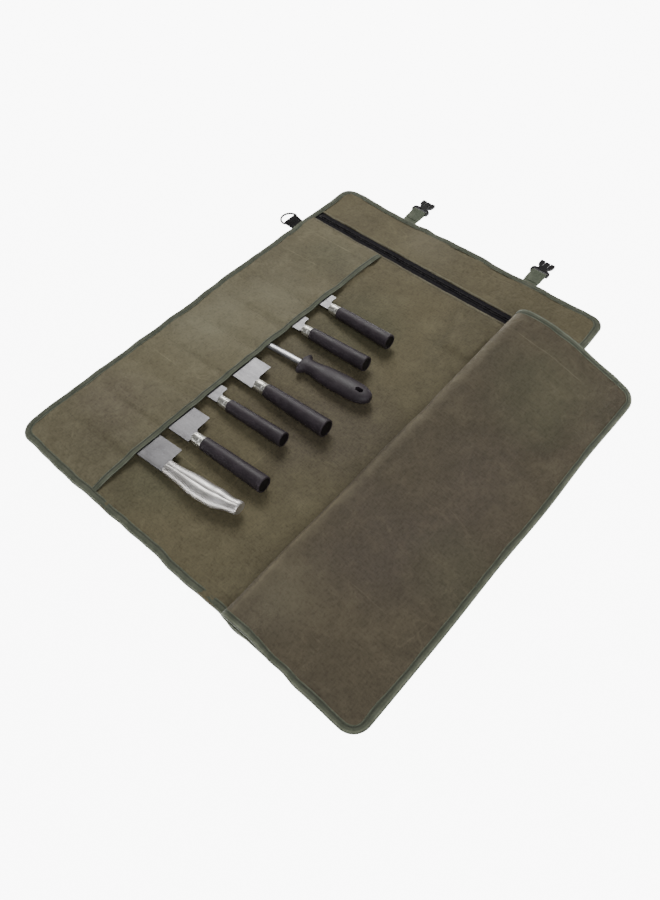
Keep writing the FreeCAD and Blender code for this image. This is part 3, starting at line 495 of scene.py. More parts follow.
def satin_steel(name, dark, light, along, across, roughness=0.34, marks=0.3, streaks=0.5,
                metallic=1.0):
    """Ground steel: fine grind lines, cloudy reflections, smudges and hairline scratches."""
    net = Net(name, "object")
    grind = net.noise(1.0, 4.0, 0.7, 0.0, net.stretched(along, across, across))
    broad = net.noise(1.0, 2.0, 0.5, 0.0, net.stretched(along * 0.3, across * 0.3, across * 0.3))
    clouds = net.noise(45.0, 3.0, 0.5)
    smudge = net.noise(90.0, 4.0, 0.65, 0.8)
    fleck = net.noise(540.0, 3.0, 0.7)
    scratch = net.noise(1.0, 2.0, 0.9, 0.0, net.stretched(30, 2600, 2600, 24))
    base = net.mix(net.range(clouds, 0.3, 0.7), dark, light)
    base = net.mix(net.range(grind, 0.35, 0.65, 0.0, streaks), base, shaded(dark, 0.75))
    base = net.mix(net.range(broad, 0.45, 0.7, 0.0, streaks), base, shaded(light, 1.25))
    base = net.mix(net.range(smudge, 0.52, 0.8, 0.0, marks), base, shaded(dark, 0.55))
    base = net.mix(net.range(fleck, 0.56, 0.75, 0.0, marks), base, shaded(light, 1.5))
    base = net.mix(net.range(scratch, 0.7, 0.8, 0.0, 0.25), base, shaded(light, 1.35))
    rough = net.plus(net.range(grind, 0.25, 0.75, roughness - 0.06, roughness + 0.08),
                     net.range(clouds, 0.4, 0.7, 0.0, 0.07))
    normal = net.bump(grind, 0.035)
    return net.finish(base, rough, normal, Metallic=metallic)


def moulded(name, colour, roughness, grain=0.05, shine=0.5):
    """Matte moulded plastic: a fine spark texture, faint handling marks and dust."""
    net = Net(name, "object")
    spark = net.noise(1500.0, 3.0, 0.6)
    handled = net.noise(55.0, 4.0, 0.6, 0.4)
    streaks = net.noise(1.0, 3.0, 0.6, 0.0, net.stretched(25, 320, 320))
    dust = net.noise(700.0, 2.0, 0.7)
    base = net.mix(net.range(handled, 0.35, 0.7), colour, shaded(colour, 1.6))
    base = net.mix(net.range(streaks, 0.5, 0.8, 0.0, 0.25), base, shaded(colour, 2.08))
    base = net.mix(net.range(dust, 0.70, 0.82, 0.0, 0.15), base, (0.12, 0.115, 0.11))
    rough = net.plus(net.range(handled, 0.3, 0.7, roughness - 0.05, roughness + 0.10),
                     net.range(spark, 0.3, 0.7, 0.0, 0.06))
    normal = net.bump(spark, grain)
    normal = net.bump(handled, 0.12, normal, 0.4)
    return net.finish(base, rough, normal, Specular_IOR_Level=shine)


BARE_METAL = (0.42, 0.40, 0.38)


def coated_metal(name, colour):
    """Black enamel, rubbed through to metal in small spots."""
    net = Net(name, "object")
    wear = net.noise(420.0, 5.0, 0.7)
    peel = net.noise(160.0, 3.0, 0.5)
    base = net.mix(net.range(peel, 0.3, 0.7), colour, shaded(colour, 1.7))
    base = net.mix(net.range(wear, 0.66, 0.74, 0.0, 0.6), base, BARE_METAL)
    rough = net.range(peel, 0.3, 0.7, 0.26, 0.42)
    return net.finish(base, rough, net.bump(peel, 0.05), Coat_Weight=0.3, Coat_Roughness=0.25,
                      Metallic=0.2)


# Patch colours: brown and green stains, and a pale colour that paints a sheen on the pocket.
BROWN, GREEN, PAINTED_SHEEN = (0.078, 0.062, 0.047), (0.087, 0.087, 0.048), (0.213, 0.199, 0.132)
CANVAS_LOOK = waxed_canvas("canvas_outer", (0.063, 0.050, 0.031), (0.095, 0.078, 0.048),
                           (0.143, 0.123, 0.078))
LINING_LOOK = waxed_canvas(
    "canvas_lining", (0.078, 0.066, 0.035), (0.124, 0.106, 0.059), (0.180, 0.159, 0.092), 1.7,
    patches=(((-30, -250), 80, GREEN, 0.6), ((-10, 120), 90, GREEN, 0.6), ((60, -60), 110, BROWN, 0.5),
             ((-60, 290), 60, (0.177, 0.157, 0.102), 0.6)),
    lines=((1, 60, 1.0, -60, 60, 0.3), (1, -215, 1.2, -70, 40, 0.35), (0, 30, 1.0, -240, -60, 0.25)))
POCKET_LOOK = waxed_canvas(
    "canvas_pocket", (0.095, 0.082, 0.047), (0.149, 0.131, 0.078), (0.218, 0.200, 0.127), 3.9,
    # The first two patches, in the pale colour, paint a sheen on the middle of the pocket.
    patches=(((-168, -40), 95, PAINTED_SHEEN, 0.95), ((-150, 60), 60, PAINTED_SHEEN, 0.55),
             ((-190, -200), 70, (0.114, 0.092, 0.064), 0.7), ((-150, 180), 60, GREEN, 0.4)),
    lines=((1, 205, 1.2, -215, -110, 0.5), (1, -120, 1.0, -220, -150, 0.5),
           (1, 150, 1.0, -225, -130, 0.4)))
# Lighter than the lining: painted highlight along the turned hems beside the zip.
HEM_PAINTED_HIGHLIGHT_LOOK = waxed_canvas("canvas_hem_painted_highlight", (0.123, 0.110, 0.069), (0.179, 0.164, 0.108),
                        (0.252, 0.233, 0.164), 6.1)
TAPE_COLOURS = (0.070, 0.079, 0.054), (0.118, 0.127, 0.091)
# Rows 14.2 and 15.4 paint shade along the tape's outer edge; 4.1 is its stitching.
TAPE_LOOK = woven_tape("green_tape", *TAPE_COLOURS, 0.0011, rows=(4.1, 14.2, 15.4), rims=(12.4, 0.8))
# Rows 6.6 and 7.7 paint shade along the tape's outer edge; 2.7 is its stitching.
FLAP_TAPE_LOOK = woven_tape("green_tape_flap", *TAPE_COLOURS, 0.0011, rows=(2.7, 6.6, 7.7),
                            rims=(5.2, 0.6))
POCKET_TAPE_LOOK = woven_tape("green_tape_pocket", *TAPE_COLOURS, 0.0011, rows=(3.2, 0.3),
                              rims=(1.8, 8.6))
WEB_LOOK = woven_tape("green_webbing", (0.080, 0.096, 0.064), (0.140, 0.156, 0.112), 0.0017,
                      depth=0.35)
BLACK_WEB = woven_tape("black_webbing", (0.0045, 0.004, 0.005), (0.009, 0.008, 0.009), 0.0017,
                       depth=0.35, worn=0.2, sheen=0.0)
ZIP_LOOK = woven_tape("zip_tape_weave", (0.0030, 0.0022, 0.0038), (0.0065, 0.005, 0.008), 0.0009,
                      depth=0.15, worn=0.2, sheen=0.0)
GREEN_THREAD = thread("green_thread", (0.062, 0.074, 0.048))
BLACK_THREAD = thread("black_thread", (0.014, 0.012, 0.014))
OLIVE_THREAD = thread("olive_thread", (0.105, 0.094, 0.060))
COIL_LOOK = moulded("zip_nylon", (0.0060, 0.0048, 0.0070), 0.36, 0.03)
BLADE_LOOK = satin_steel("blade_satin", (0.155, 0.153, 0.161), (0.240, 0.238, 0.246), 60, 500, 0.42,
                         0.5, streaks=0.2)
GRIP_STEEL = satin_steel("grip_satin", (0.52, 0.50, 0.48), (0.74, 0.72, 0.70), 18, 420, 0.40, 0.15,
                         streaks=0.25, metallic=0.8)
COLLAR_LOOK = satin_steel("collar_satin", (0.46, 0.45, 0.41), (0.80, 0.79, 0.73), 14, 500, 0.34, 0.05,
                          metallic=0.85)
ROD_LOOK = satin_steel("rod_ribbed", (0.26, 0.26, 0.265), (0.50, 0.50, 0.51), 12, 900, 0.34, 0.1,
                       streaks=0.7, metallic=0.9)
GRIP_LOOK = moulded("grip_polymer", (0.0255, 0.0195, 0.0240), 0.50, shine=0.42)
CAP_LOOK = moulded("cap_polymer", (0.0060, 0.0050, 0.0058), 0.6, shine=0.25)
BUCKLE_LOOK = moulded("buckle_acetal", (0.0045, 0.0042, 0.0048), 0.62, 0.04, shine=0.22)
ENAMEL = coated_metal("black_enamel", (0.005, 0.0048, 0.0052))

CARRIED = {
    "buckle": (BUCKLE_LOOK, "buckle_plastic"), "d_ring": (ENAMEL, "ring_metal"),
    "zip_stops": (CAP_LOOK, "zip_metal"), "zip_slider": (ENAMEL, "zip_metal"),
    "zip_pull": (ENAMEL, "zip_metal"),
    "_ferrule": (COLLAR_LOOK, "blade_steel"), "_blade": (BLADE_LOOK, "blade_steel"),
    "_end_cap": (CAP_LOOK, "cap_plastic"), "knife_a_handle": (GRIP_STEEL, "handle_steel"),
    "steel_rod": (ROD_LOOK, "blade_steel"), "_handle": (GRIP_LOOK, "handle_plastic"),
    "steel_guard": (GRIP_LOOK, "handle_plastic"),
}


EDGE_ROUNDING = {"_blade": 0.35, "_handle": 0.30, "buckle": 0.25, "_ferrule": 0.2, "zip_": 0.15}


def dress_carried_nodes():
    """Gives each CAD node that stays its finish, smooth shading and slightly rounded edges."""
    for name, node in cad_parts.items():
        look, slot = next((v for key, v in CARRIED.items() if key in name), (GRIP_LOOK, None))
        node.data.materials.clear()
        node.data.materials.append(look)
        if not slot:
            continue
        node.data.shade_smooth()
        node.data.set_sharp_from_angle(angle=math.radians(32))
        radius = next((r for key, r in EDGE_ROUNDING.items() if key in name), None)
        if radius:
            rounding = node.modifiers.new("rounded_edges", "BEVEL")
            rounding.width, rounding.segments = radius * MM, 2
            rounding.limit_method, rounding.angle_limit = "ANGLE", math.radians(40)
            rounding.use_clamp_overlap, rounding.harden_normals = True, True


# ---- the open base -----------------------------------------------------------------------------
def near_edge(x, y, reach=60.0):
    """1 at the base's edge, falling to 0 a reach inside it."""
    inside = np.minimum(np.minimum(x - LEFT, RIGHT - x), np.minimum(y - FRONT, REAR - y))
    return 1 - smooth(inside / reach)


def settle(x, y):
    """How far the limp edges wander in plan, and how far they lift off the table."""
    edge = near_edge(x, y)
    dx = edge * (1.1 * ripples(y, y * 0, 190, 21) + 0.55 * ripples(y, y * 0, 46, 25))
    dy = edge * (1.3 * ripples(x, x * 0, 130, 22) + 0.55 * ripples(x, x * 0, 40, 26))
    beside_strap = 1.7 * np.exp(-((x + 74) / 9) ** 2) - 1.3 * np.exp(-((x + 92) / 6) ** 2)
    under_fold = -2.4 * np.exp(-((x - 166) / 15) ** 2)
    dy = dy + edge ** 3 * np.where(y > 0, beside_strap, under_fold)
    lift = 1.0 * edge * np.clip(ripples(x, y, 120, 23), 0, 1.3)
    return dx, dy, lift


def settled(x, y, z):
    """Points at heights z, moved in plan as the limp cloth there is."""
    dx, dy, _ = settle(x, y)
    return np.stack([x + dx, y + dy, z], -1)


def hump(x, y):
    """The rise over a buckle socket under the canvas."""
    rise = np.zeros(np.broadcast(x, y).shape)
    for cx, cy in HUMPS:
        along = smooth((HUMP_FOOT[0] - np.abs(x - cx)) / (HUMP_FOOT[0] - HUMP_CROWN[0]))
        across = smooth((HUMP_FOOT[1] - np.abs(y - cy)) / (HUMP_FOOT[1] - HUMP_CROWN[1]))
        rise += HUMP_RISE * along * across
    return rise


def tool_zone(x, y):
    """1 where tools lie, or slide over, the lining."""
    across = smooth((x - LEFT - 20) / 40) * smooth((RIGHT - 85 - x) / 30)
    return across * smooth((y - FRONT - 30) / 30) * smooth((150 - y) / 30)


def lining_wrinkles(x, y):
    soft = 0.55 * ripples(x, y, 95, 31) + 0.28 * ripples(x, y, 34, 32)
    crease = 0.75 * ridges(x, y, 150, 33) * np.clip(ripples(x, y, 210, 34), 0, 1)
    free = np.clip(soft + crease, -0.55, 1.5)
    calm = np.clip(0.35 * soft - 0.12, -0.5, 0.1)
    zone = np.clip(tool_zone(x, y) + smooth((x - RIGHT + 105) / 20), 0, 1)
    return free * (1 - zone) + calm * zone


def lining_top(x, y):
    return LINING_TOP + hump(x, y) + lining_wrinkles(x, y) + settle(x, y)[2]


def rounded_rows(low, high, inset, count):
    """Places along X, closer together in the corners, and the base's half length at each."""
    radius = CORNER_RADIUS - inset
    share = np.linspace(0, 1, count)
    share = share - 0.10 * np.sin(4 * np.pi * share) / (2 * np.pi) * 2
    places = low + (high - low) * share
    edge = np.minimum(places - (LEFT + inset), RIGHT - inset - places)
    depth = np.clip(radius - edge, 0, radius)
    half = (REAR - FRONT) / 2 - inset - (radius - np.sqrt(np.maximum(radius ** 2 - depth ** 2, 0)))
    return places, half


def base_sheet(name, y_low, y_high, height, look, columns, rows=190):
    """Canvas across the whole base between two distances from the front, clipped to its outline."""
    inset = 1.2
    places, half = rounded_rows(LEFT + inset, RIGHT - inset, inset, rows)
    middle = (FRONT + REAR) / 2
    low = np.maximum(middle - half, y_low)
    high = np.minimum(middle + half, y_high)
    share = np.linspace(0, 1, columns)
    y = low[:, None] + (high - low)[:, None] * share
    x = np.repeat(places[:, None], columns, axis=1)
    points = settled(x, y, height(x, y))
    build = Build()
    maps = np.stack([x, y], -1)
    build.slab(points, points - np.array([0, 0, CANVAS]), maps)
    return build.object(name, [look])


def shell_top(x, y):
    inside = np.minimum(np.minimum(x - LEFT, RIGHT - x), np.minimum(y - FRONT, SINK_REAR - y))
    inside = inside - SINK_INSET + 4.0 * ripples(x, y, 90, 24) - 2.0
    sunk = SHELL_LOW * smooth(inside / 16.0)
    top = SHELL_LOW + CANVAS + hump(x, y) + settle(x, y)[2] - sunk
    by_slider = np.clip((SLIDER_PATH - np.abs(y - ZIP_Y)) / 3.0, 0, 1)
    return top + (np.minimum(top, SLIDER_FOOT - SLIDER_ROOM) - top) * by_slider


def base_outline(spacing=2.4):
    """Points round the base's rounded outline, with the direction inwards at each."""
    radius = CORNER_RADIUS
    corners = ((RIGHT - radius, REAR - radius, 0), (LEFT + radius, REAR - radius, 90),
               (LEFT + radius, FRONT + radius, 180), (RIGHT - radius, FRONT + radius, 270))
    places, inwards = [], []
    for number, (cx, cy, start) in enumerate(corners):
        for angle in np.radians(start + np.linspace(0, 90, 16)):
            out = np.array([np.cos(angle), np.sin(angle)])
            places.append(np.array([cx, cy]) + out * radius)
            inwards.append(-out)
        nx, ny, _ = corners[(number + 1) % 4]
        begin = places[-1]
        end = np.array([nx, ny]) - inwards[-1] * radius
        steps = int(np.linalg.norm(end - begin) / spacing)
        for step in range(1, steps):
            places.append(begin + (end - begin) * step / steps)
            inwards.append(inwards[-1])
    return np.array(places), np.array(inwards)


def strap_gap(x, y):
    """1 where webbing or a ring tab passes under the binding's lower leg."""
    gap = np.zeros(np.shape(x))
    for cx, _ in HUMPS:
        gap = np.maximum(gap, smooth((WEBBING / 2 + 2.5 - np.abs(x - cx)) / 1.5) * (y > REAR - 15))
    beside = smooth((WEBBING / 2 + 2.5 - np.abs(y - RING_Y)) / 1.5)
    return np.maximum(gap, beside * (np.abs(x) > RIGHT - 15))


def edge_binding():
    """Green tape folded over the base's edge, sewn through with one row of stitches each side."""
    places, inwards = base_outline()
    steps = np.linalg.norm(np.roll(places, -1, axis=0) - places, axis=1)
    run = np.concatenate([[0], np.cumsum(steps)[:-1]])
    x, y = places[:, 0], places[:, 1]
    pocket = smooth((LEFT + 30 - x) / 10) * smooth((LINING_REAR + 5 - y) / 15)
    front = smooth((FRONT + 16 - y) / 6) * smooth((POCKET_OPENING + 4 - x) / 10)
    over = 0.75 * np.maximum(pocket, front)
    lift = settle(x, y)[2]
    pucker = 0.10 * np.sin(run * 2 * np.pi / 6.8) + 0.10 * ripples(run, run * 0, 17, 41)
    slack = 0.6 * ripples(run, run * 0, 45, 42)
    top = BINDING_TOP + 0.15 + over + lift
    low = strap_gap(x, y) * TAPE * 0.98
    outline = (
        (BINDING_WIDTH + 0.3, "t", -0.75), (BINDING_WIDTH + 0.1, "t", -0.15),
        (BINDING_WIDTH - 0.8, "t", 0.10), (7.9, "t", -0.08), (6.2, "t", 0.12), (4.2, "t", 0.22),
        (2.4, "t", 0.12), (1.1, "t", -0.35), (0.3, "t", -1.1), (0.0, "m", 0.0), (0.25, "b", 1.15),
        (1.0, "b", 0.42), (2.2, "b", 0.06), (5.0, "b", 0.0), (8.6, "b", 0.0), (9.7, "b", 0.12),
        (9.9, "b", 0.6), (9.2, "b", 1.0), (5.0, "b", 1.05), (2.4, "b", 1.3), (1.9, "m", 0.0),
        (2.4, "t", -1.3), (5.0, "t", -1.05), (9.0, "t", -0.95),
    )
    rings, charts = [], []
    along = 0.0
    for number, (depth, level, height) in enumerate(outline):
        wide = depth * (1 + 0.05 * slack * (depth > 5))
        px = x + inwards[:, 0] * wide
        py = y + inwards[:, 1] * wide
        if level == "t":
            z = top + height + pucker * (depth > 5)
        elif level == "b":
            z = low + height * (1 - low / TAPE * 0.9) + lift
        else:
            z = (top + low + lift) / 2
        rings.append(settled(px, py, z))
        if number:
            before = outline[number - 1]
            along += abs(before[0] - depth) + 0.6
        charts.append(np.stack([run, np.full(len(run), along)], -1))
    build = Build()
    build.tube(np.stack(rings, 1), np.stack(charts, 1), looped=True)
    for depth, rows, normal in ((8.0, top, 1.0), (8.0, low + lift + 0.25, -1.0)):
        px, py = x + inwards[:, 0] * depth, y + inwards[:, 1] * depth
        line = settled(px, py, rows)
        line = np.concatenate([line, line[:1]])
        stitch_row(build, line, np.tile([0, 0, normal], (len(line), 1)), 1)
    made = build.object("edge_tape", [TAPE_LOOK, GREEN_THREAD], 60)
    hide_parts("edge_binding")
    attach(made, "base")


def open_base():
    shell = base_sheet("shell_canvas", FRONT, REAR, shell_top, CANVAS_LOOK, 230)
    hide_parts("outer_shell")
    lining = base_sheet("lining_canvas", FRONT, LINING_REAR + 0.6, lining_top, LINING_LOOK, 230, 200)
    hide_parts("inner_lining")
    facing = base_sheet("zip_facing_canvas", FACING_FRONT - 0.6, REAR, lining_top, LINING_LOOK, 40)
    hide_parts("zip_facing")
    for piece, slot in ((shell, "canvas"), (lining, "canvas_lining"), (facing, "canvas_lining")):
        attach(piece, "base")


# ---- the pocket --------------------------------------------------------------------------------
POCKET_INSET = 8.5          # the panel's edges lie inside the binding
POCKET_LEFT = LEFT + POCKET_INSET
POCKET_FRONT = FRONT + POCKET_INSET
POCKET_REAR = LINING_REAR - 1.0
SEAM_LOW, SEAM_HIGH = box("pocket_seams")
SEAM_COUNT = 8
TOOL_NODES = [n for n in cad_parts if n.endswith("_blade") or n == "steel_rod"]
PANEL_LIFT = 0.95           # room between a blade and the panel over it
SEAM_DIP = 0.45             # how far a seam draws the taut panel down to the lining


def seam_places():
    return np.linspace(SEAM_LOW[1] + 0.4, SEAM_HIGH[1] - 0.4, SEAM_COUNT)


def tops_of_tools(x, y):
    """Height of the highest tool under each point of a grid, or 0 where there is none."""
    height = np.zeros(x.shape)
    for name in TOOL_NODES:
        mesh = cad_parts[name].data
        mesh.calc_loop_triangles()
        tree = BVHTree.FromPolygons([v.co for v in mesh.vertices],
                                    [t.vertices for t in mesh.loop_triangles])
        low, high = box(name)
        wide = (x > low[0] - 3) & (x < high[0] + 3) & (y > low[1] - 3) & (y < high[1] + 3)
        for index in zip(*np.nonzero(wide)):
            hit = tree.ray_cast(Vector((x[index] * MM, y[index] * MM, 0.1)), Vector((0, 0, -1)))[0]
            if hit:
                height[index] = max(height[index], hit.z / MM)
    return height


def widened(height, cells):
    """The highest value within some cells along Y."""
    found = height.copy()
    for step in range(1, cells + 1):
        found[:, step:] = np.maximum(found[:, step:], height[:, :-step])
        found[:, :-step] = np.maximum(found[:, :-step], height[:, step:])
    return found


def relaxed(start, held, at, least, slack, rounds):
    """Cloth over obstacles: each point settles to its neighbours' mean, but not below least."""
    height = start
    for _ in range(rounds):
        around = np.pad(height, 1, mode="edge")
        mean = (around[2:, 1:-1] + around[:-2, 1:-1] + around[1:-1, 2:] + around[1:-1, :-2]) / 4
        height = np.where(held, at, np.maximum(mean + slack, least))
    return height


class Pocket:
    """The panel's upper face: cloth taut over the blades and held down at its seams and edges."""

    def __init__(self):
        self.xs = np.linspace(POCKET_LEFT, POCKET_OPENING, 66)
        self.ys = np.linspace(POCKET_FRONT, POCKET_REAR, 262)
        x, y = np.meshgrid(self.xs, self.ys, indexing="ij")
        floor = lining_top(x, y) + CANVAS + 0.05
        tools = widened(tops_of_tools(x, y), 1)
        least = np.where(tools > 0, np.maximum(floor, tools + CANVAS + PANEL_LIFT), floor)
        sewn = np.zeros(x.shape, bool)
        sewn[0], sewn[:, 0], sewn[:, -1] = True, True, True
        taut = relaxed(least + 1.0, sewn, floor, least, 0.0, 700)
        seams = np.zeros(x.shape, bool)
        for seam in seam_places():
            seams |= (np.abs(y - seam) < 1.1) & (x < SEAM_HIGH[0])
        drawn = np.where(seams & ~sewn, taut - SEAM_DIP * (taut - floor), floor)
        slack = 0.0035 + 0.002 * ripples(x, y, 75, 51)
        height = relaxed(taut, sewn | seams, drawn, least, slack, 350)
        height = relaxed(height, sewn, floor, least - 0.2, 0.0, 5)
        free = smooth((height - floor) / 2.0)
        height = height + free * (0.18 * ripples(x, y, 30, 52) + 0.45 * ridges(x, y, 90, 53)
                                  * np.clip(ripples(x, y, 120, 54), 0, 1) + 0.12)
        self.x, self.y, self.height = x, y, height

    def top(self, x, y):
        """Height of the panel's upper face at places inside it."""
        grid = self.height
        u = np.interp(x, self.xs, np.arange(len(self.xs)))
        v = np.interp(y, self.ys, np.arange(len(self.ys)))
        i, j = np.minimum(u.astype(int), len(self.xs) - 2), np.minimum(v.astype(int), len(self.ys) - 2)
        a, b = u - i, v - j
        return (grid[i, j] * (1 - a) * (1 - b) + grid[i + 1, j] * a * (1 - b)
                + grid[i, j + 1] * (1 - a) * b + grid[i + 1, j + 1] * a * b)


def pocket_pieces():
    pocket = Pocket()
    points = settled(pocket.x, pocket.y, pocket.height)
    build = Build()
    build.slab(points, points - np.array([0, 0, CANVAS]), np.stack([pocket.x, pocket.y], -1))
    panel = build.object("pocket_canvas", [POCKET_LOOK])
    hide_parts("pocket_panel")
    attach(panel, "base")
    pocket_seams(pocket)
    pocket_tape(pocket)
    return pocket


def pocket_seams(pocket):
    """The sewn lines between the slots: a pinched fold of cloth below, and stitches on top."""
    build = Build()
    steps = 60
    x = np.linspace(POCKET_LEFT + 4, SEAM_HIGH[0] - 1, steps)
    for seam in seam_places():
        y = np.full(steps, seam)
        top = pocket.top(x, y)
        foot = lining_top(x, y) - 0.05
        roof = np.maximum(top - CANVAS + 0.1, foot + 0.2)
        dx, dy, _ = settle(x, y)
        sides = []
        for level, half in ((foot, 0.75), (foot * 0.4 + roof * 0.6, 0.4), (roof, 0.5)):
            sides.append(np.stack([x + dx, y + dy + half, level], -1))
        for level, half in ((roof, 0.5), (foot * 0.4 + roof * 0.6, 0.4), (foot, 0.75)):
            sides.append(np.stack([x + dx, y + dy - half, level], -1))
        rings = np.stack(sides, 1)
        build.tube(rings, np.stack([rings[..., 0], rings[..., 2]], -1))
        line = np.stack([x + dx, y + dy, top - 0.10], -1)
        stitch_row(build, line, upward(steps), 1, radius=0.2)
    folds = build.object("pocket_seam_folds", [POCKET_LOOK, OLIVE_THREAD], 60)
    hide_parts("pocket_seams")
    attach(folds, "base")


def pocket_tape(pocket):
    """Tape folded over the pocket's opening edge."""
    y = np.linspace(POCKET_FRONT, POCKET_REAR, 380)
    wide = 8.0 + 0.5 * ripples(y, y * 0, 40, 55)
    pucker = 0.10 * np.sin(y * 2 * np.pi / 6.8) + 0.12 * ripples(y, y * 0, 15, 56)
    outline = ((1.0, 0.05), (0.93, 0.5), (0.7, 0.52), (0.45, 0.62), (0.2, 0.62),
               (0.05, 0.45), (-0.07, 0.05), (-0.1, -0.45), (-0.07, -0.9),
               (0.02, -1.30), (0.2, -1.42), (0.6, -1.42), (0.93, -1.40), (1.0, -0.9))
    rings, charts = [], []
    for number, (share, height) in enumerate(outline):
        x = POCKET_OPENING - wide * share
        z = pocket.top(np.minimum(x, POCKET_OPENING), y) + height
        if height > 0.3:
            z = z + pucker * 0.5
        rings.append(settled(x, y, z))
        charts.append(np.stack([y, np.full(len(y), number * 1.6)], -1))
    build = Build()
    build.tube(np.stack(rings, 1), np.stack(charts, 1))
    x = POCKET_OPENING - wide * 0.8
    line = np.stack([x, y, pocket.top(x, y) + 0.52], -1)
    stitch_row(build, line[3:-3], upward(len(line) - 6), 1)
    made = build.object("pocket_tape", [POCKET_TAPE_LOOK, GREEN_THREAD], 60)
    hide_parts("pocket_binding")
    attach(made, "base")


# ---- the zip -----------------------------------------------------------------------------------
ZIP_SEAM = 5.6              # from the zip's middle to each row of its own stitches
HEM_FROM = 9.8              # from the zip's middle to the hem beside it
HEM_WIDTH = 3.4


def zip_pieces(pocket):
    start, end = box("zip_tape_front")[0][0], box("zip_tape_front")[1][0]
    x = np.linspace(start, end, 240)
    for side, name in ((-1, "front"), (1, "rear")):
        low, high = box("zip_tape_" + name)
        build = Build()
        edge = low[1] - 0.3 if side < 0 else low[1]
        y = np.linspace(edge, high[1] + (0.3 if side > 0 else 0), 14)
        gx, gy = np.meshgrid(x, y, indexing="ij")
        away = np.abs(gy - ZIP_Y)
        sag = 0.12 * ripples(gx, gy, 60, 61) - 0.15 * smooth((away - 4) / 5)
        points = np.stack([gx, gy, high[2] - 0.05 + sag], -1)
        build.slab(points, points - np.array([0, 0, 0.5]), np.stack([gx, gy], -1))
        line_y = ZIP_Y + side * ZIP_SEAM
        line = np.stack([x, np.full(len(x), line_y), np.full(len(x), high[2] + 0.02)], -1)
        stitch_row(build, line, upward(len(x)), 1, 2.6, 1.8, 0.18)
        tape = build.object("zip_tape_cloth_" + name, [ZIP_LOOK, BLACK_THREAD])
        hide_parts("zip_tape_" + name)
        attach(tape, "base")
        zip_teeth(side, name)
        zip_hem(side, name, pocket, start, end)


def zip_teeth(side, name):
    """The wound nylon coil: one small arch after another."""
    low, high = box("zip_coil_" + name)
    middle, half = (low[1] + high[1]) / 2, (high[1] - low[1]) / 2
    pitch, wire = 1.5, 0.42
    turn = np.linspace(0, np.pi, 7)
    arch_y = middle - side * half * 0.96 * np.cos(turn)
    arch_z = low[2] - 0.1 + (high[2] - low[2] - wire + 0.1) * np.sin(turn) ** 0.6
    around = np.arange(6) * np.pi / 3
    build = Build()
    for place in np.arange(low[0], high[0], pitch):
        rings = []
        for y, z, lean in zip(arch_y, arch_z, np.linspace(-0.22, 0.22, 7)):
            ring = np.stack([place + lean + wire * 1.25 * np.cos(around),
                             np.full(6, y), z + wire * np.sin(around)], -1)
            rings.append(ring)
        build.tube(rings, np.tile([place, 0.0], (7, 6, 1)))
    teeth = build.object("zip_teeth_" + name, [COIL_LOOK], 60)
    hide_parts("zip_coil_" + name)
    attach(teeth, "base")


def zip_hem(side, name, pocket, start, end):
    """The canvas edge turned under and sewn down beside the zip's tape, painted lighter as a highlight
    along it.
    """
    x = np.linspace(start + 0.5, end - 0.5, 250)
    edge = ZIP_Y + side * HEM_FROM
    share = np.linspace(0, 1, 9)
    y = edge + side * HEM_WIDTH * share
    gx, gy = np.meshgrid(x, y, indexing="ij")
    base = lining_top(gx, gy)
    if side < 0:
        over = pocket.top(np.clip(gx, POCKET_LEFT, POCKET_OPENING), np.minimum(gy, POCKET_REAR))
        base = np.where(gx < POCKET_OPENING, np.maximum(base, over), base)
    crown = 0.70 + 0.25 * np.sin(np.pi * share) ** 0.5 - 0.45 * smooth((0.14 - share) / 0.14)
    crown = crown - 0.66 * smooth((share - 0.55) / 0.45)
    z = base + crown + 0.10 * ripples(gx, gy, 20, 63) + 0.06
    points = np.stack([gx, gy, z], -1)
    build = Build()
    lower = points - np.array([0, 0, 1.0]) * np.maximum(crown, 0.4)[None, :, None]
    build.slab(points, lower, np.stack([gx, gy], -1))
    line = points[:, 4] + np.array([0, 0, -0.02])
    stitch_row(build, line, upward(len(x)), 1, radius=0.22)
    hem = build.object("zip_hem_" + name, [HEM_PAINTED_HIGHLIGHT_LOOK, OLIVE_THREAD], 60)
    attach(hem, "base")


# ---- the flap ----------------------------------------------------------------------------------
# The flap's middle line at its front end and at its rear end, as (x, z), from the sewn edge to the
# free edge. Both lines have the same stations: from the root up the fold and over its crown, then
# down the fall to the tip.
FLAP_ENDS = (
    ((RIGHT - 0.6, 4.95), (200.0, 4.95), (160.0, 4.95), (149.0, 5.1), (145.6, 8.2), (143.0, 14.0),
     (148.0, 19.4), (155.8, 20.6), (161.3, 20.4), (172.0, 16.5), (188.0, 9.5), (224.0, 7.7),
     (243.0, 7.4), (256.0, 2.4), (300.0, 1.75), (FLAP_EDGE, 1.65)),
    ((RIGHT - 0.6, 4.95), (200.0, 4.95), (160.0, 4.95), (149.0, 5.1), (145.2, 8.5), (144.3, 28.0),
     (148.0, 42.0), (155.8, 46.3), (161.3, 47.0), (172.0, 47.3), (198.0, 44.0), (224.0, 38.8),
     (260.0, 28.0), (290.0, 19.0), (308.0, 13.0), (FLAP_EDGE, 1.9)),
)
CUT_AFTER_FOLD = 6          # station where the first flap piece ends
CUT_IN_FALL = 10            # station where the second ends
CALM_FROM = 12              # station past which the cloth waves less
SOFTENING = 34              # rounds of smoothing over the stations' corners
FLAP_CANVAS = 1.2
OVERHANG = 3.0              # of the flap's front end past the base's front edge


